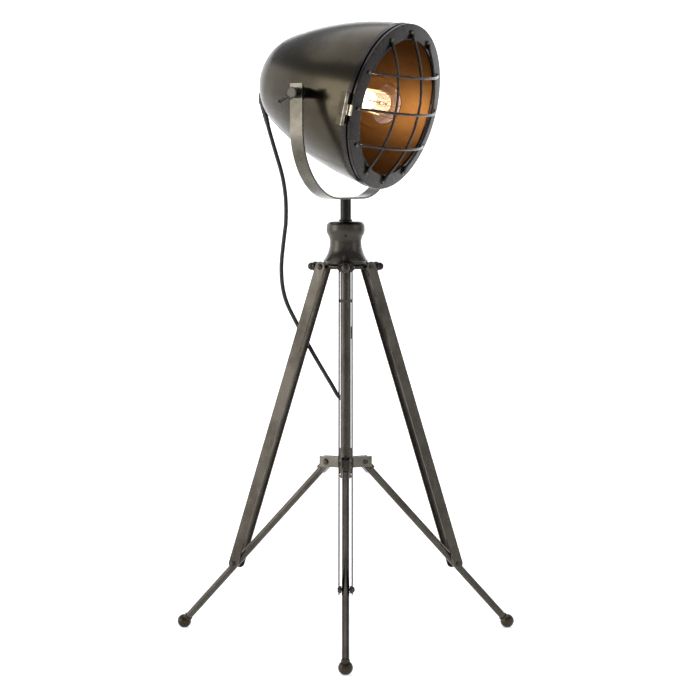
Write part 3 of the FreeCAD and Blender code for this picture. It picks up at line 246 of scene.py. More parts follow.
def along(line):
    """Unit directions at each point: the difference between the points on either side of it."""
    way = np.gradient(line, axis=0)
    return way / np.linalg.norm(way, axis=1, keepdims=True)


def tube_grid(line, radii, side=ACROSS, columns=20, flat=1.0):
    """Rows are circles about the line: centre + radius (cos a * first axis + flat sin a * second axis).
    A row of radius zero at each end closes it."""
    way = along(line)
    first = np.cross(np.broadcast_to(side, way.shape), way)
    first /= np.linalg.norm(first, axis=1, keepdims=True)
    second = np.cross(way, first)
    line = np.concatenate([line[:1], line, line[-1:]])
    first = np.concatenate([first[:1], first, first[-1:]])
    second = np.concatenate([second[:1], second, second[-1:]])
    radii = np.concatenate([[0], np.broadcast_to(radii, len(line) - 2), [0]])
    flat = np.concatenate([[1], np.broadcast_to(flat, len(line) - 2), [1]])
    turn = full_turn(columns)[None, :, None]
    wide = radii[:, None, None] * np.cos(turn) * first[:, None, :]
    tall = (radii * flat)[:, None, None] * np.sin(turn) * second[:, None, :]
    return line[:, None, :] + wide + tall


cord_upper_jacket = closed_piece("lead_hanging", [tube_grid(upper_line, CORD_RADIUS)])
cord_lower_jacket = closed_piece("lead_to_plug", [tube_grid(lower_line, CORD_RADIUS)])
for jacket in (cord_upper_jacket, cord_lower_jacket):
    print(jacket.name, len(jacket.data.polygons), "faces")

# %% [markdown]
# ## Strain reliefs
# Where a lead leaves a housing, a soft tapered sleeve keeps it from kinking. It is a tube along the same
# line whose radius falls from the housing to the cord, with shallow rings that let it bend.

# %% Tapered sleeves
SLEEVE_LENGTH, SLEEVE_ROOT, SLEEVE_STEPS = 26 * MM, 1.5 * MM, 65
SLEEVE_TIP = CORD_RADIUS + 0.5 * MM
RIPPLE_DEPTH, RIPPLE_COUNT = 0.35 * MM, 5


def sleeve(name, line, wide):
    """A tube whose radius falls evenly from wide to just over the cord's, less a ripple of rings. It starts
    a little inside its housing, where the line is carried straight back."""
    reach = np.concatenate([[0], np.cumsum(np.linalg.norm(np.diff(line, axis=0), axis=1))])
    steps = np.linspace(-SLEEVE_ROOT, SLEEVE_LENGTH, SLEEVE_STEPS)
    path = np.column_stack([np.interp(steps, reach, line[:, k]) for k in range(3)])
    path += np.minimum(steps, 0)[:, None] * (line[1] - line[0]) / reach[1]
    share = np.clip(steps / SLEEVE_LENGTH, 0, 1)
    taper = wide + (SLEEVE_TIP - wide) * share
    ripple = RIPPLE_DEPTH * (0.5 - 0.5 * np.cos(2 * math.pi * RIPPLE_COUNT * share))
    return closed_piece(name, [tube_grid(path, taper - ripple)])


shade_relief = sleeve("shade_relief", upper_line, wide=4.1 * MM)
plug_relief = sleeve("plug_relief", lower_line[::-1], wide=3.7 * MM)
print("sleeves", shade_relief.name, plug_relief.name)

# %% Cord facts
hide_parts("cord_upper")
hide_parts("cord_lower", "cord_hank")
for relief, body in ((shade_relief, "head"), (plug_relief, "stand")):
    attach(relief, body)
print("the jackets stand in place of the plain tubes and the plain hank")

# %% [markdown]
# ## The head's own directions
# The head is turned about the post and tilted down. Its pieces are described along three directions:
# ahead out of the mouth, sideways along the trunnions, and up in the head. One function takes such
# coordinates, in millimetres from the point between the trunnions, into the lamp's frame.

# %% Head frame
YAW = math.radians(-30.86)
TILT = math.radians(12.68)
TRUNNION_HEIGHT = 659.9 * MM
AHEAD = np.array([math.cos(YAW) * math.cos(TILT), math.sin(YAW) * math.cos(TILT), -math.sin(TILT)])
SIDEWAYS = np.array([-math.sin(YAW), math.cos(YAW), 0])
UPWARD = np.cross(AHEAD, SIDEWAYS)
HEAD_ORIGIN = np.array([0, AXIS_Y, TRUNNION_HEIGHT])


def in_head(ahead, sideways, upward):
    """origin + ahead * its direction + sideways * its direction + upward * its direction."""
    a, s, u = np.broadcast_arrays(ahead, sideways, upward)
    return HEAD_ORIGIN + MM * (a[..., None] * AHEAD + s[..., None] * SIDEWAYS + u[..., None] * UPWARD)


print("the head looks along", AHEAD.round(4))

# %% [markdown]
# ## Spun metal
# The shade, its rim band and the guard's ring are spun or rolled from sheet, and the bulb is blown, so
# all are round about the head's axis. Each is a profile of places ahead and radii, carried round the axis.
# Corners get a small rounding, because real sheet never folds to a knife edge.

# %% Surfaces of revolution
ROUND_STEPS = 160
SHORT_SIDE_SHARE = 0.45


def spun(profile, steps=ROUND_STEPS):
    """Point = (ahead, radius cos a, radius sin a) for each profile point and each angle a."""
    profile = np.array(profile)
    turn = full_turn(steps)
    radius = profile[:, 1, None]
    return in_head(profile[:, 0, None], radius * np.cos(turn), radius * np.sin(turn))


def arc(centre, radius, start, end, steps):
    """(centre ahead + radius cos a, centre out + radius sin a) for degrees a from start to end."""
    angle = np.radians(np.linspace(start, end, steps))
    return np.column_stack([centre[0] + radius * np.cos(angle), centre[1] + radius * np.sin(angle)])


def rounded(corners, radius, steps=5):
    """A closed profile whose corners become quadratic curves: (1-t)^2 a + 2t(1-t) corner + t^2 b, where a
    and b lie that radius, or 45% of the side, before and after the corner."""
    corners = np.array(corners, float)
    ends = []
    for shift in (1, -1):
        side = np.roll(corners, shift, axis=0) - corners
        length = np.linalg.norm(side, axis=1, keepdims=True)
        ends.append(corners + side / length * np.minimum(radius, SHORT_SIDE_SHARE * length))
    a, b = ends
    t = np.linspace(0, 1, steps)[None, :, None]
    bent = (1 - t) ** 2 * a[:, None] + 2 * t * (1 - t) * corners[:, None] + t**2 * b[:, None]
    return bent.reshape(-1, 2)


print("a full circle has", ROUND_STEPS, "steps")

# %% Shade shell
DOME_RADIUS, DOME_CENTRE, DOME_STEPS = 64.2, -47.3, 30
FLARE_RADIUS, FLARE_SLOPE, FLARE_STEPS = 348.0, 29.0, 60
LIP_AHEAD, SHADE_WALL = 64.4, 1.2
# The flare's arc leaves the dome's without a kink, so their centres and the join lie on one line.
JOIN_WAY = np.array([-math.sin(math.radians(FLARE_SLOPE)), math.cos(math.radians(FLARE_SLOPE))])
FLARE_CENTRE = np.array([DOME_CENTRE, 0]) + (DOME_RADIUS - FLARE_RADIUS) * JOIN_WAY


def shade_wall(inset):
    """Pole to lip: the dome's arc, then the flare's arc, both inset by the same amount."""
    dome = arc((DOME_CENTRE, 0), DOME_RADIUS - inset, 180, 90 + FLARE_SLOPE, DOME_STEPS)
    flare_radius = FLARE_RADIUS - inset
    lip_angle = math.degrees(math.acos((LIP_AHEAD - FLARE_CENTRE[0]) / flare_radius))
    flare = arc(FLARE_CENTRE, flare_radius, 90 + FLARE_SLOPE, lip_angle, FLARE_STEPS)
    return np.concatenate([dome, flare[1:]])


outer_wall = shade_wall(0)
inner_wall = shade_wall(SHADE_WALL)
LIP_RADIUS = float(outer_wall[-1, 1])
shade = closed_piece("spun_shade", [spun(np.concatenate([outer_wall, inner_wall[::-1]]))])
print("shade radius at the lip", round(LIP_RADIUS, 2), "mm")

# %% Rim band
BAND_BACK, BAND_FRONT, BAND_WALL = 59.4, 65.2, 0.8
BAND_PLAY, BAND_LAP, BAND_ROUNDING = 0.05, 1.3, 0.5

band_profile = [
    (BAND_BACK, LIP_RADIUS + BAND_PLAY),
    (BAND_BACK, LIP_RADIUS + BAND_WALL),
    (BAND_FRONT, LIP_RADIUS + BAND_WALL),
    (BAND_FRONT, LIP_RADIUS - BAND_LAP),
    (LIP_AHEAD, LIP_RADIUS - BAND_LAP),
    (LIP_AHEAD, LIP_RADIUS + BAND_PLAY),
]
rim = closed_piece("rim_bead", [spun(rounded(band_profile, BAND_ROUNDING))], ring=True)
print("rim band", len(rim.data.polygons), "faces")

# %% Guard ring
COLLAR_BACK, COLLAR_INSIDE, COLLAR_OUTSIDE = 62.0, 95.3, 96.5
RING_BACK, RING_FACE, RING_SHEET = 67.4, 71.5, 0.8
RING_RADIUS, RING_OPENING, RING_RISE = 99.9, 81.3, 1.9
HEM_FLAT, HEM_WALL, HEM_DEPTH = 1.6, 1.2, 3.0
HEM_FRONT = RING_FACE + RING_RISE
RING_ROUNDING = 1.1

ring_profile = [
    (COLLAR_BACK, COLLAR_INSIDE),
    (COLLAR_BACK, COLLAR_OUTSIDE),
    (RING_BACK, COLLAR_OUTSIDE),
    (RING_BACK, RING_RADIUS),
    (RING_FACE, RING_RADIUS),
    (HEM_FRONT, RING_OPENING + HEM_FLAT),
    (HEM_FRONT, RING_OPENING),
    (HEM_FRONT - HEM_DEPTH, RING_OPENING),
    (HEM_FRONT - HEM_DEPTH, RING_OPENING + HEM_WALL),
    (HEM_FRONT - HEM_WALL, RING_OPENING + HEM_FLAT),
    (RING_FACE - RING_SHEET, COLLAR_INSIDE),
]
ring = closed_piece("guard_frame", [spun(rounded(ring_profile, RING_ROUNDING))], ring=True)
print("ring", len(ring.data.polygons), "faces")

# %% [markdown]
# ## The guard's wires
# Six round wires arch over the mouth, three upright and three level. Their ends are hammered flat and
# riveted to the ring. Each wire is a tube along an arc; its section is a circle in the middle and turns
# into a wide flat oval near the ends.

# %% Guard wires
WIRE_RADIUS, WIRE_STEPS, WIRE_COLUMNS = 1.6, 121, 16
GUARD_SEAT, GUARD_SPREAD, GUARD_SAG = 90.0, 42.9, -2.7
GUARD_BULGE, GUARD_LIFT = 28.9, 3.1
ARC_INSET = 2.5  # how far inside the rivets the wires' arcs end
WIRE_REACH = GUARD_SEAT - ARC_INSET
RING_MARGIN = 1.2
RING_SLOPE = RING_RISE / (RING_RADIUS - RING_MARGIN - RING_OPENING - HEM_FLAT)
SEAT_AHEAD = RING_FACE + RING_SLOPE * (RING_RADIUS - RING_MARGIN - GUARD_SEAT)
STAND_OFF, TAB_SINK = 0.8 * WIRE_RADIUS, 0.45
TAB_LENGTH, TAB_END, TAB_ROUND_END, TAB_ROUNDING = 7.0, 5.5, 5.9, 2.9
TAB_WIDENING, TAB_THINNING, TIP_SHARE = 0.95, 0.72, 0.15


def guard_rise(offset, middle):
    """Height of the dome's cap of that middle height, less what it loses that far to the side."""
    dome = (WIRE_REACH**2 + middle**2) / (2 * middle)
    return math.sqrt(dome**2 - offset**2) - (dome - middle)


def guard_wire(offset, middle, upright):
    """A circular arc that rises sqrt(R^2 - t^2) - (R - rise) over its two seats. Past them the ends run
    straight along the ring, flattened, and rounded at the tip."""
    reach = math.sqrt(WIRE_REACH**2 - offset**2)
    rise = guard_rise(offset, middle)
    bend = (reach**2 + rise**2) / (2 * rise)
    t = np.linspace(-reach - TAB_END, reach + TAB_END, WIRE_STEPS)
    past = np.abs(t) - reach
    flatness = np.clip(1 + past / TAB_LENGTH, 0, 1)
    flatness = flatness**2 * (3 - 2 * flatness)
    arch = np.sqrt(bend**2 - np.clip(t, -reach, reach) ** 2) - (bend - rise)
    ahead = SEAT_AHEAD + STAND_OFF * (1 - TAB_SINK * flatness) + arch
    side = np.full_like(t, offset)
    line = in_head(ahead, side, t) if upright else in_head(ahead, t, side)
    tip = np.sqrt(np.clip((TAB_ROUND_END - past) / TAB_ROUNDING, TIP_SHARE, 1))
    wide = WIRE_RADIUS * MM * (1 + TAB_WIDENING * flatness) * tip
    thin = 1 - TAB_THINNING * flatness
    return tube_grid(line, wide * thin, side=AHEAD, columns=WIRE_COLUMNS, flat=1 / thin)


def wires_and_seats(name, offsets, middle, upright):
    """One piece of the wires at those offsets, and the sideways and upward places of their rivets."""
    seats = []
    for offset in offsets:
        end = math.sqrt(GUARD_SEAT**2 - offset**2)
        seats += [(offset, end), (offset, -end)] if upright else [(end, offset), (-end, offset)]
    return closed_piece(name, [guard_wire(offset, middle, upright) for offset in offsets]), seats


upright_wires, upright_seats = wires_and_seats(
    "guard_bars_upright", (-GUARD_SPREAD, 0, GUARD_SPREAD), GUARD_BULGE, True
)
level_wires, level_seats = wires_and_seats(
    "guard_bars_level",
    (GUARD_SAG - GUARD_SPREAD, GUARD_SAG, GUARD_SAG + GUARD_SPREAD),
    GUARD_BULGE + GUARD_LIFT,
    False,
)
print("wires", upright_wires.name, level_wires.name)

# %% Rivets
RIVET_RADIUS, RIVET_COLUMNS = 2.5, 20
RIVET_DOME, RIVET_LIFT, RIVET_STEM = 0.75 * RIVET_RADIUS, 1.4, -0.8


def rivet_grid(side, up):
    """A low dome on the tab, out = radius sin a and height = lift + dome cos a, with a short stem below.
    It stands square to the ring's sloping face."""
    out_way = np.array([side, up]) / math.hypot(side, up)
    normal = np.array([1, RING_SLOPE * out_way[0], RING_SLOPE * out_way[1]])
    normal /= np.linalg.norm(normal)
    first = np.cross(normal, [0, out_way[1], -out_way[0]])
    second = np.cross(normal, first)
    angle = np.radians(np.concatenate([[0], np.linspace(12, 88, 8)]))
    out = np.concatenate([RIVET_RADIUS * np.sin(angle), [RIVET_RADIUS, 0]])
    height = np.concatenate([RIVET_DOME * np.cos(angle) + RIVET_LIFT, [RIVET_STEM, RIVET_STEM]])
    turn = full_turn(RIVET_COLUMNS)[None, :, None]
    circles = out[:, None, None] * (np.cos(turn) * first + np.sin(turn) * second)
    at = np.array([SEAT_AHEAD, side, up]) + height[:, None, None] * normal + circles
    return in_head(at[..., 0], at[..., 1], at[..., 2])


seats = upright_seats + level_seats
rivets = closed_piece("guard_rivet_heads", [rivet_grid(*seat) for seat in seats])
print(len(seats), "rivets")

# %% [markdown]
# ## The bulb
# A round decorative bulb: blown glass with a thin wall, a screw cap rolled with a thread, a glass stem
# and a long thin wire that runs up and down in a cage. Glass needs both of its surfaces to bend light
# as a real bulb does, so the profile goes out along the outside and back along the inside.

# %% Bulb glass and stem
GLOBE_RADIUS, GLOBE_CENTRE, GLOBE_STEPS = 31.5, 41.7, 40
BULB_TAPER = 18.0
NECK_RADIUS, GLASS_WALL, GLASS_FOOT = 12.3, 0.8, -42.8
NECK_BLEND, BLEND_STEPS = 9, 9
BULB_COLUMNS, STEM_COLUMNS = 96, 32


def bulb_wall(inset):
    """Foot, neck and globe: the cone between them leaves the globe where its slope is the taper, and
    meets the neck in a soft bend."""
    globe = arc((GLOBE_CENTRE, 0), GLOBE_RADIUS - inset, 90 + BULB_TAPER, 0, GLOBE_STEPS)
    neck = NECK_RADIUS - inset
    neck_top = globe[0, 0] - (globe[0, 1] - neck) / math.tan(math.radians(BULB_TAPER))
    corners = [(GLASS_FOOT, neck), (neck_top, neck), globe[0]]
    bend = rounded(corners, NECK_BLEND, BLEND_STEPS)[BLEND_STEPS : 2 * BLEND_STEPS]
    return np.concatenate([corners[:1], bend, globe])


glass_profile = np.concatenate([bulb_wall(0), bulb_wall(GLASS_WALL)[::-1]])
bulb = closed_piece("bulb_envelope", [spun(glass_profile, BULB_COLUMNS)], ring=True)
stem_profile = [
    (GLASS_FOOT, 0), (GLASS_FOOT, 11.2), (-41.6, 11.3), (-38, 6.2), (-34, 4.2), (-30, 3.9), (-4, 3.7),
    (0, 4.3), (3, 3.6), (6, 1.8), (10, 1.4), (46, 1.3), (49, 2.1), (51, 1.3), (51.3, 0),
]
stem = closed_piece("bulb_mount", [spun(stem_profile, STEM_COLUMNS)])
print("bulb", len(bulb.data.polygons), "faces, stem", len(stem.data.polygons), "faces")

# %% Screw cap
CAP_BACK, CAP_FRONT, CAP_RADIUS = -51.8, -24.8, 13.3
CAP_CREST, CONTACT_RADIUS = CAP_RADIUS - 0.3, 4.8
THREAD_BACK, THREAD_FRONT = CAP_BACK + 7, CAP_FRONT - 3
THREAD_PITCH, THREAD_DEPTH, THREAD_FADE = 3.63, 0.6, 1.5


def cap_grid(rows=110, columns=96):
    """radius = crest - depth (1 - cos(2 pi ahead / pitch - angle)) on the threaded stretch, so the groove
    climbs one pitch in each turn. A contact button and a plain cone close the back."""
    turn = full_turn(columns)
    thread = np.linspace(THREAD_BACK, THREAD_FRONT, rows)[:, None]
    fade = np.clip(np.minimum(thread - thread[0], thread[-1] - thread) / THREAD_FADE, 0, 1)
    groove = THREAD_DEPTH * fade * (1 - np.cos(2 * math.pi * thread / THREAD_PITCH - turn))
    button = [(CAP_BACK, 0), (CAP_BACK, CONTACT_RADIUS), (CAP_BACK + 1.5, CONTACT_RADIUS)]
    back = np.array(button + [(CAP_BACK + 4.5, CAP_RADIUS - 3.5)])
    front = np.array([(CAP_FRONT, CAP_CREST), (CAP_FRONT, CAP_RADIUS - 0.9), (CAP_FRONT - 0.4, 0)])
    ahead = np.concatenate([back[:, :1], thread, front[:, :1]])
    plain_back, plain_front = np.tile(back[:, 1:], columns), np.tile(front[:, 1:], columns)
    radius = np.concatenate([plain_back, CAP_CREST - groove, plain_front])
    return in_head(ahead, radius * np.cos(turn), radius * np.sin(turn))


cap = closed_piece("bulb_screw_cap", [cap_grid()])
print("cap", len(cap.data.polygons), "faces")

# %% Filament
CAGE_RADIUS, CAGE_LOW, CAGE_HIGH = 12.6, 1.2, 48.7
CAGE_LOOPS, CAGE_SWELL, CAGE_SWAY = 8, 2.0, 0.035
ZIGZAG = 0.97
FILAMENT_RADIUS, FILAMENT_POINTS, FILAMENT_COLUMNS = 0.28 * MM, 1600, 8


def filament_line():
    """The angle goes once round. wave = asin(0.97 sin(8 angle)) / asin(0.97) is a rounded zigzag from -1 to
    1, and the place ahead and the radius follow it. A small sway leans each run of the wire."""
    turn = np.linspace(0, 2 * math.pi, FILAMENT_POINTS)
    wave = np.arcsin(ZIGZAG * np.sin(CAGE_LOOPS * turn)) / math.asin(ZIGZAG)
    angle = turn + CAGE_SWAY * np.sin(2 * CAGE_LOOPS * turn)
    radius = CAGE_RADIUS + CAGE_SWELL * wave
    ahead = (CAGE_LOW + CAGE_HIGH) / 2 + wave * (CAGE_HIGH - CAGE_LOW) / 2
    return in_head(ahead, radius * np.cos(angle), radius * np.sin(angle))


wire_line = filament_line()
wire_side = SIDEWAYS + 0.3 * UPWARD
filament = closed_piece(
    "glowing_filament", [tube_grid(wire_line, FILAMENT_RADIUS, side=wire_side, columns=FILAMENT_COLUMNS)]
)
print("filament wire", round(line_length(wire_line), 3), "m")

# %% [markdown]
# ## Old metal
# Nearly every part is steel with an antique finish: a dark lacquer that is thin in places, with brown
# patches, a fine mottle and a slightly uneven gloss. The same effect serves several metals, so it is one
# node group with named inputs. It works on object coordinates, in metres, and gives out a colour, a
# roughness and a height that vary over the surface. The shader stays in each material.

# %% Node helpers
def plain_material(name):
    """A new material, its node tree and its Principled shader."""
    material = bpy.data.materials.new(name)
    material.use_nodes = True
    return material, material.node_tree, material.node_tree.nodes["Principled BSDF"]


def feed(tree, values, node):
    """Gives a node's inputs, by name or number, what they take: another node's output, or a plain value."""
    for label, value in values.items():
        if isinstance(value, bpy.types.NodeSocket):
            tree.links.new(value, node.inputs[label])
        else:
            node.inputs[label].default_value = value


def object_place(tree):
    return tree.nodes.new("ShaderNodeTexCoord").outputs["Object"]


def add_noise(tree, vector, scale, detail, roughness=0.55):
    noise = tree.nodes.new("ShaderNodeTexNoise")
    feed(tree, {"Vector": vector, "Scale": scale, "Detail": detail, "Roughness": roughness}, noise)
    return noise.outputs["Fac"]


def add_mix(tree, factor, first, second):
    mix = tree.nodes.new("ShaderNodeMix")
    mix.data_type = "RGBA"
    feed(tree, {"Factor": factor, "A": first, "B": second}, mix)
    return mix.outputs["Result"]


def add_range(tree, value, given, wanted):
    """Maps the first pair of limits to the second pair."""
    spread = tree.nodes.new("ShaderNodeMapRange")
    limits = zip(("From Min", "From Max", "To Min", "To Max"), (*given, *wanted))
    feed(tree, {"Value": value, **dict(limits)}, spread)
    return spread.outputs["Result"]


def add_math(tree, kind, first, second):
    sums = tree.nodes.new("ShaderNodeMath")
    sums.operation = kind
    feed(tree, {0: first, 1: second}, sums)
    return sums.outputs[0]


def add_ramp(tree, factor, low, high, start=0.0, end=1.0):
    """Runs from the low colour, where the factor is start, to the high one, where it is end."""
    ramp = tree.nodes.new("ShaderNodeValToRGB")
    for element, place, colour in zip(ramp.color_ramp.elements, (start, end), (low, high)):
        element.position = place
        element.color = (*colour, 1)
    feed(tree, {"Fac": factor}, ramp)
    return ramp.outputs["Color"]


def add_bump(tree, height, strength, distance):
    relief = tree.nodes.new("ShaderNodeBump")
    feed(tree, {"Strength": strength, "Distance": distance, "Height": height}, relief)
    return relief.outputs["Normal"]


def new_group(name, inputs, outputs):
    """A shader node group, and its two end nodes. Each input is a name, a kind and a value."""
    group = bpy.data.node_groups.new(name, "ShaderNodeTree")
    for label, kind, value in inputs:
        socket = group.interface.new_socket(label, in_out="INPUT", socket_type=kind)
        socket.default_value = value
    for label, kind in outputs:
        group.interface.new_socket(label, in_out="OUTPUT", socket_type=kind)
    return group, group.nodes.new("NodeGroupInput"), group.nodes.new("NodeGroupOutput")


# %% Patina group
COLOUR, FLOAT, VECTOR = "NodeSocketColor", "NodeSocketFloat", "NodeSocketVector"
PATCH_EDGES, SPECK_EDGES, SPECK_SHARE = (0.42, 0.66), (0.56, 0.78), 0.8
SPECKS_PER_PATCH = 9.0
PATCH_WEIGHT, SPECK_WEIGHT, MOTTLE_EDGES = 0.6, 0.4, (0.1, 0.85)


def make_patina():
    """Broad noise lays the patches, and fine noise, which can be stretched, lays the rubbed specks. Both
    together set how dull the surface is."""
    tree, given, result = new_group(
        "patina",
        [
            ("Metal", COLOUR, (0.1, 0.09, 0.08, 1)),
            ("Patch", COLOUR, (0.06, 0.04, 0.03, 1)),
            ("Rubbed", COLOUR, (0.3, 0.27, 0.22, 1)),
            ("Patch Size", FLOAT, 0.03),
            ("Smooth", FLOAT, 0.3),
            ("Dull", FLOAT, 0.5),
            ("Stretch", VECTOR, (1, 1, 1)),
        ],
        [("Color", COLOUR), ("Roughness", FLOAT), ("Height", FLOAT)],
    )
    place = object_place(tree)
    stretched = tree.nodes.new("ShaderNodeVectorMath")
    stretched.operation = "MULTIPLY"
    feed(tree, {0: place, 1: given.outputs["Stretch"]}, stretched)
    scale = add_math(tree, "DIVIDE", 1.0, given.outputs["Patch Size"])
    fine_scale = add_math(tree, "MULTIPLY", scale, SPECKS_PER_PATCH)
    broad = add_noise(tree, place, scale, 4)
    fine = add_noise(tree, stretched.outputs["Vector"], fine_scale, 6, 0.7)
    patch = add_range(tree, broad, PATCH_EDGES, (0.0, 1.0))
    specks = add_range(tree, fine, SPECK_EDGES, (0.0, SPECK_SHARE))
    colour = add_mix(tree, patch, given.outputs["Metal"], given.outputs["Patch"])
    colour = add_mix(tree, specks, colour, given.outputs["Rubbed"])
    patch_part = add_math(tree, "MULTIPLY", patch, PATCH_WEIGHT)
    mottle = add_math(tree, "ADD", patch_part, add_math(tree, "MULTIPLY", fine, SPECK_WEIGHT))
    dullness = add_range(tree, mottle, MOTTLE_EDGES, (given.outputs["Smooth"], given.outputs["Dull"]))
    feed(tree, {"Color": colour, "Roughness": dullness, "Height": fine}, result)
    return tree


patina = make_patina()
print("group", patina.name, [item.name for item in patina.interface.items_tree])

# %% Metals
COAT_ROUGHNESS, METAL_RELIEF = 0.25, 0.0005


def old_metal(name, metal, patch, rubbed, size, roughness, stretch=(1, 1, 1), bump=0.03, coat=0.0):
    """A metallic Principled shader fed by the patina group and a slight bump."""
    material, tree, shader = plain_material(name)
    group = tree.nodes.new("ShaderNodeGroup")
    group.node_tree = patina
    colours = {"Metal": (*metal, 1), "Patch": (*patch, 1), "Rubbed": (*rubbed, 1)}
    smooth, dull = roughness
    feed(tree, {**colours, "Patch Size": size, "Smooth": smooth, "Dull": dull, "Stretch": stretch}, group)
    finish = {
        "Metallic": 1,
        "Coat Weight": coat,
        "Coat Roughness": COAT_ROUGHNESS,
        "Base Color": group.outputs["Color"],
        "Roughness": group.outputs["Roughness"],
        "Normal": add_bump(tree, group.outputs["Height"], bump, METAL_RELIEF),
    }
    feed(tree, finish, shader)
    return material


pewter = old_metal(
    "antique_pewter",
    metal=(0.041, 0.0335, 0.02), patch=(0.022, 0.0168, 0.0085), rubbed=(0.07, 0.059, 0.04),
    size=0.05, roughness=(0.19, 0.32), coat=0.25,
)
# A lighter copy of the pewter. Part of the difference is a paler finish, and part is painted key light,
# because the yoke faces the lamp at the left.
pale_pewter_and_painted_light = old_metal(
    "pale_pewter_and_painted_light",
    metal=(0.122, 0.113, 0.091), patch=(0.076, 0.067, 0.049), rubbed=(0.165, 0.155, 0.134),
    size=0.03, roughness=(0.22, 0.36), coat=0.4,
)
ring_pewter = old_metal(
    "ring_pewter",
    metal=(0.023, 0.0188, 0.0175), patch=(0.015, 0.0118, 0.0105), rubbed=(0.055, 0.048, 0.044),
    size=0.02, roughness=(0.22, 0.34), coat=0.35,
)
hub_bronze = old_metal(
    "hub_bronze",
    metal=(0.036, 0.031, 0.023), patch=(0.022, 0.018, 0.012), rubbed=(0.064, 0.056, 0.044),
    size=0.02, roughness=(0.2, 0.34), coat=0.5,
)
copper = old_metal(
    "polished_copper",
    metal=(0.215, 0.113, 0.043), patch=(0.18, 0.09, 0.032), rubbed=(0.26, 0.15, 0.07),
    size=0.05, roughness=(0.32, 0.42), bump=0.0,
)
leg_steel = old_metal(
    "leg_steel",
    metal=(0.057, 0.0495, 0.039), patch=(0.034, 0.027, 0.019), rubbed=(0.1, 0.09, 0.073),
    size=0.035, roughness=(0.22, 0.36), stretch=(1, 1, 0.12), coat=0.4,
)
nickel = old_metal(
    "worn_nickel",
    metal=(0.038, 0.033, 0.029), patch=(0.018, 0.015, 0.013), rubbed=(0.12, 0.108, 0.093),
    size=0.008, roughness=(0.16, 0.3), coat=0.4,
)
# Much lighter than the other nickel: partly rubbed bright metal, partly painted highlight on the knuckles.
rubbed_nickel_and_painted_highlight = old_metal(
    "rubbed_nickel_and_painted_highlight",
    metal=(0.3, 0.27, 0.21), patch=(0.12, 0.1, 0.075), rubbed=(0.5, 0.46, 0.38),
    size=0.006, roughness=(0.14, 0.26), coat=0.4,
)
stem_nickel = old_metal(
    "stem_nickel",
    metal=(0.015, 0.0142, 0.0135), patch=(0.01, 0.009, 0.0085), rubbed=(0.042, 0.039, 0.037),
    size=0.012, roughness=(0.12, 0.22), coat=0.2,
)
dark_wire = old_metal(
    "dark_bronze_wire",
    metal=(0.03, 0.0245, 0.021), patch=(0.018, 0.014, 0.012), rubbed=(0.08, 0.066, 0.055),
    size=0.012, roughness=(0.2, 0.32), coat=0.4,
)
bulb_cap_metal = old_metal(
    "cap_brass",
    metal=(0.72, 0.58, 0.34), patch=(0.55, 0.42, 0.22), rubbed=(0.85, 0.74, 0.5),
    size=0.01, roughness=(0.2, 0.3),
)
metals = [pewter, pale_pewter_and_painted_light, ring_pewter, hub_bronze, copper, leg_steel]
metals += [nickel, rubbed_nickel_and_painted_highlight, stem_nickel, dark_wire, bulb_cap_metal]
print("metals", [metal.name for metal in metals])

# %% [markdown]
# ## Glass, glow and plastics
# The bulb is clear glass with a trace of warmth. Its wire is hot, so it gives off light of its own, from
# deep yellow to pale yellow. The lead and the plug are black; moulded plastic has a faint grain, and a
# cord's jacket is a little darker, with fine scuffs.

# %% Glass and glow
def clear_glass():
    """Smooth transmission glass; a faint noise in the colour stands for drawn-glass streaks."""
    material, tree, shader = plain_material("bulb_glass_clear")
    streak = add_noise(tree, object_place(tree), scale=18, detail=2)
    finish = {
        "Transmission Weight": 1,
        "IOR": 1.45,
        "Base Color": add_ramp(tree, streak, (1.0, 0.93, 0.88), (1.0, 0.98, 0.95)),
        "Roughness": add_range(tree, streak, (0.3, 0.7), (0.0, 0.03)),
    }
    feed(tree, finish, shader)
    return material


def hot_wire():
    """Emission whose colour varies with a noise along the wire."""
    material, tree, shader = plain_material("hot_filament")
    heat = add_noise(tree, object_place(tree), scale=60, detail=2)
    finish = {
        "Base Color": (0.4, 0.25, 0.1, 1),
        "Emission Color": add_ramp(tree, heat, (1.0, 0.62, 0.22), (1.0, 0.86, 0.5)),
        "Emission Strength": 2.2,
    }
    feed(tree, finish, shader)
    return material


glass = clear_glass()
glow = hot_wire()
print("bulb materials", glass.name, glow.name)

# %% Plastics
SCUFF_SCALE, PORE_RELIEF = 70, 0.0003


def moulded(name, colour, lighter, grain, roughness, bump):
    """A dielectric whose colour and gloss vary a little with one noise, over the fine grain of another."""
    material, tree, shader = plain_material(name)
    place = object_place(tree)
    scuff = add_noise(tree, place, SCUFF_SCALE, 5, 0.65)
    pores = add_noise(tree, place, grain, 2)
    finish = {
        "Base Color": add_ramp(tree, scuff, colour, lighter, start=0.45, end=0.75),
        "Roughness": add_range(tree, scuff, (0.3, 0.7), roughness),
        "Normal": add_bump(tree, pores, bump, PORE_RELIEF),
    }
    feed(tree, finish, shader)
    return material


black_plastic = moulded("moulded_black", (0.012, 0.012, 0.013), (0.03, 0.03, 0.032), 1800, (0.4, 0.55), 0.25)
cord_jacket = moulded("cord_jacket", (0.004, 0.004, 0.0042), (0.011, 0.011, 0.012), 900, (0.42, 0.56), 0.08)
holder_black = moulded("holder_black", (0.014, 0.012, 0.011), (0.04, 0.036, 0.032), 700, (0.18, 0.3), 0.05)
tie_brown = moulded("tie_brown", (0.045, 0.04, 0.034), (0.08, 0.072, 0.062), 600, (0.35, 0.5), 0.1)
print("plastics", black_plastic.name, cord_jacket.name, holder_black.name, tie_brown.name)

# %% [markdown]
# ## Dressing the solids
# Posts, strips, screws and balls keep their solid shapes, and get their finish in their own material slots.
# The pieces made above stand in place of the solids they are finer than, and ride on the same bodies.

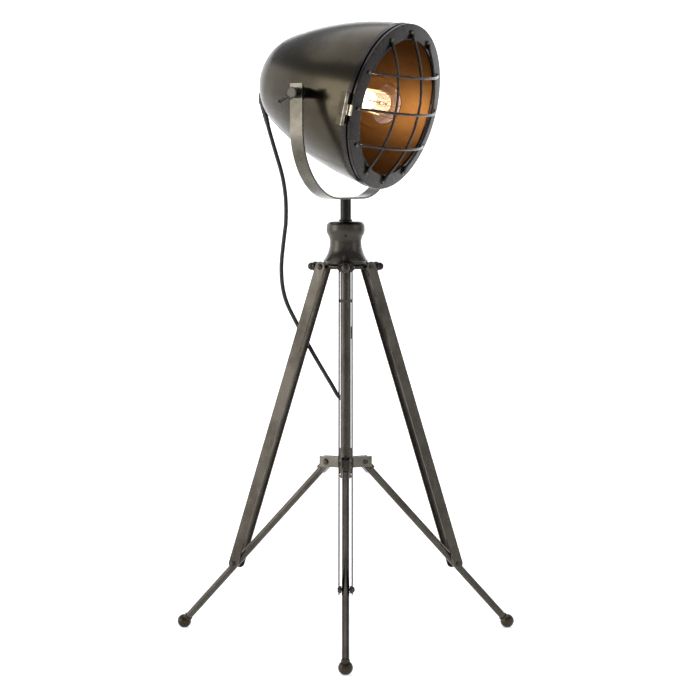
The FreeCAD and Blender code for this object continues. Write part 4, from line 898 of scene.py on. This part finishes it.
# %% Finishes for the solids
LEGS = ("front", "right", "left")
FINISHES = [
    (hub_bronze, ["hub"]),
    (stem_nickel, ["stem_tube"]),
    (pewter, ["hub_base", "post_cap", "trunnion_spacers", "lampholder_strap"]),
    (pewter, [f"foot_{leg}" for leg in LEGS]),
    (pale_pewter_and_painted_light, ["yoke", "spider_brackets"]),
    (leg_steel, ["centre_post", "spider_sleeve"]),
    (leg_steel, [f"upper_leg_{leg}" for leg in LEGS] + [f"lower_leg_{leg}" for leg in LEGS]),
    (dark_wire, ["arm_pin_spacers", "tommy_bar_near", "tommy_bar_far"] + [f"arm_{leg}" for leg in LEGS]),
    (nickel, ["swivel_screw", "arm_pins", "spider_pins", "thumb_screw_near", "thumb_screw_far"]),
    (nickel, ["trunnion_nuts", "hinge_pin", "plug_pins"] + [f"pivot_pin_{leg}" for leg in LEGS]),
    (rubbed_nickel_and_painted_highlight, ["hinge_leaf_shade", "hinge_leaf_ring", "catch_clip"]),
    (bulb_cap_metal, ["lampholder_contacts"]),
    (holder_black, ["lampholder"]),
    (black_plastic, ["cable_bush", "plug_body", "switch_body", "switch_rocker"]),
    (tie_brown, ["cord_ties"]),
]


def dress(thing, material):
    thing.data.materials.clear()
    thing.data.materials.append(material)


for finish, names in FINISHES:
    for node_name in names:
        dress(nodes[node_name], finish)
print(sum(len(names) for _, names in FINISHES), "solids dressed")

# %% Finishes, bodies and slots of the new pieces
PIECES = [
    (shade, "head", "shade_inside", pewter, ("shade_shell",)),
    (rim, "head", "dark_pewter", ring_pewter, ("rim_band",)),
    (ring, "guard_door", "dark_pewter", ring_pewter, ("guard_ring",)),
    (upright_wires, "guard_door", "dark_pewter", dark_wire, ("guard_wires_upright",)),
    (level_wires, "guard_door", "dark_pewter", dark_wire, ("guard_wires_level",)),
    (rivets, "guard_door", "dark_pewter", pale_pewter_and_painted_light, ("guard_rivets",)),
    (bulb, "head", "clear_glass", glass, ("bulb_glass",)),
    (stem, "head", "clear_glass", glass, ("bulb_stem",)),
    (cap, "head", "aged_brass", bulb_cap_metal, ("bulb_cap",)),
    (filament, "head", "filament", glow, ("bulb_filament",)),
]
for piece, body, slot_name, material, replaced in PIECES:
    dress(piece, material)
    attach(piece, body)
    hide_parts(*replaced)
LEAD_PIECES = [
    (cord_upper_jacket, cord_jacket),
    (cord_lower_jacket, cord_jacket),
    (shade_relief, black_plastic),
    (plug_relief, black_plastic),
]
for piece, material in LEAD_PIECES:
    dress(piece, material)
print(len(PIECES) + len(LEAD_PIECES), "new pieces dressed")

# %% [markdown]
# ## Copper inside, dark leaf outside
# The shade is lined with copper, and the hinge's leaf on it was blackened with it. The knuckles' bright
# nickel is partly rubbed metal and partly painted highlight. Such a lining could be a second thin shell, but
# two walls so close would flicker.
# So one mesh takes two materials, and each face is given the one that belongs to its place.

# %% Copper lining
def per_face(mesh, what):
    """One vector for each face of the mesh: its center or its normal."""
    values = np.zeros(len(mesh.polygons) * 3)
    mesh.polygons.foreach_get(what, values)
    return values.reshape(-1, 3)


def second_material(mesh, material, chosen):
    """The chosen faces take that material; the others keep the first one."""
    mesh.materials.append(material)
    mesh.polygons.foreach_set("material_index", chosen.astype(np.int32))


# An inner face's normal points against the way out, which starts from the axis in the flare and from the
# dome's centre behind it.
way_out = per_face(shade.data, "center") - HEAD_ORIGIN - DOME_CENTRE * MM * AHEAD
way_out -= np.clip(way_out @ AHEAD, 0, None)[:, None] * AHEAD
lined = (per_face(shade.data, "normal") * way_out).sum(axis=1) < 0
second_material(shade.data, copper, lined)
print(int(lined.sum()), "of", len(lined), "faces lined with copper")

# %% Hinge leaf
KNUCKLE_BACK = 61.0 * MM

# Faces ahead of this line are the knuckles, which keep the nickel with its partly painted highlight.
leaf = nodes["hinge_leaf_shade"].data
behind_knuckles = (per_face(leaf, "center") - HEAD_ORIGIN) @ AHEAD < KNUCKLE_BACK
second_material(leaf, pewter, behind_knuckles)
print(int(behind_knuckles.sum()), "of", len(behind_knuckles), "leaf faces blackened")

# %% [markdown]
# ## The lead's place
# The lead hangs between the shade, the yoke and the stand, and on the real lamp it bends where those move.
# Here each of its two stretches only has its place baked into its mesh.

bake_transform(cord_upper_jacket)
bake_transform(cord_lower_jacket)

# %% [markdown]
# ## Studio
# The lamp stands on a wide pale floor that rises gently into a round wall, so no horizon shows. The paper
# glows a little, most at the back and the left, so it stays white behind the lamp while the metal mirrors
# a darker side at the right and in front. A large soft light stands at the left, a weaker one at the right
# and one above. The bulb lights the copper from inside.

# %% Floor
FLOOR_RADIUS, COVE_RADIUS, WALL_HEIGHT = 4.6, 1.4, 3.4
FLOOR_RINGS = (0, 0.4, 1.5, 3.0)
COVE_STEPS, BOWL_COLUMNS = 16, 64
GLOW_FROM, GLOW_TO = (-4.5, 3.0), (0.08, 0.8)


def studio_bowl():
    """radius, height: flat to the cove, a quarter circle, then upright; carried round the middle."""
    cove = np.radians(np.linspace(-90, 0, COVE_STEPS))
    wall_radius = FLOOR_RADIUS + COVE_RADIUS
    radius = np.concatenate([FLOOR_RINGS, FLOOR_RADIUS + COVE_RADIUS * np.cos(cove), [wall_radius]])
    height = np.concatenate([np.zeros(len(FLOOR_RINGS)), COVE_RADIUS * (1 + np.sin(cove)), [WALL_HEIGHT]])
    turn = full_turn(BOWL_COLUMNS)
    across, behind = np.outer(radius, np.cos(turn)), np.outer(radius, np.sin(turn))
    return np.stack([across, behind, np.broadcast_to(height[:, None], across.shape)], axis=-1)


def glowing_paper():
    """White paper whose emission grows with how far behind less how far right a point is."""
    material, tree, shader = plain_material("pale_paper")
    place = tree.nodes.new("ShaderNodeSeparateXYZ")
    feed(tree, {"Vector": object_place(tree)}, place)
    back_left = add_math(tree, "SUBTRACT", place.outputs["Y"], place.outputs["X"])
    finish = {
        "Base Color": (0.86, 0.86, 0.86, 1),
        "Roughness": 0.9,
        "Emission Color": (1, 1, 1, 1),
        "Emission Strength": add_range(tree, back_left, GLOW_FROM, GLOW_TO),
    }
    feed(tree, finish, shader)
    return material


floor = closed_piece("studio_floor", [studio_bowl()])
dress(floor, glowing_paper())
print("floor and wall", len(floor.data.polygons), "faces")

# %% Lights
LAMP_MIDDLE = Vector((0, 0.05, 0.5))


def soft_light(name, place, size, power, colour=(1, 1, 1)):
    """A rectangular area light at a place, turned so that it shines at the lamp's middle."""
    data = bpy.data.lights.new(name, "AREA")
    data.shape = "RECTANGLE"
    data.size, data.size_y = size
    data.energy = power
    data.color = colour
    light = bpy.data.objects.new(name, data)
    light.location = place
    light.rotation_euler = (LAMP_MIDDLE - light.location).to_track_quat("-Z", "Y").to_euler()
    bpy.context.scene.collection.objects.link(light)


soft_light("key_left", (-2.6, -0.9, 0.9), size=(1.5, 2.2), power=25, colour=(1, 0.97, 0.91))
soft_light("fill_right", (2.3, -1.0, 0.9), size=(0.9, 1.6), power=4)
soft_light("top", (-0.2, 0.3, 2.6), size=(3.0, 2.8), power=36)
print("three soft lights round", tuple(LAMP_MIDDLE))

# %% Bulb light
BULB_MIDDLE, BULB_POWER, BULB_COLOUR, BULB_SOFTNESS = 30.0, 0.078, (1, 0.8, 0.55), 0.012

lamp_data = bpy.data.lights.new("bulb_light", "POINT")
lamp_data.energy = BULB_POWER
lamp_data.color = BULB_COLOUR
lamp_data.shadow_soft_size = BULB_SOFTNESS
bulb_light = bpy.data.objects.new("bulb_light", lamp_data)
bulb_light.location = in_head(BULB_MIDDLE, 0.0, 0.0)
bpy.context.scene.collection.objects.link(bulb_light)
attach(bulb_light, "head")
# The light sits inside the glass and the wire, which would shut it in if they cast shadows.
for clear in (bulb, stem, filament):
    clear.visible_shadow = False
print("bulb light at", tuple(bulb_light.location))

# %% Sky and exposure
SKY_COLOUR, SKY_STRENGTH = (0.9, 0.93, 1, 1), 0.4

world = bpy.context.scene.world or bpy.data.worlds.new("studio")
bpy.context.scene.world = world
world.use_nodes = True
feed(world.node_tree, {"Color": SKY_COLOUR, "Strength": SKY_STRENGTH}, world.node_tree.nodes["Background"])
bpy.context.scene.view_settings.view_transform = "Standard"
print("studio ready")
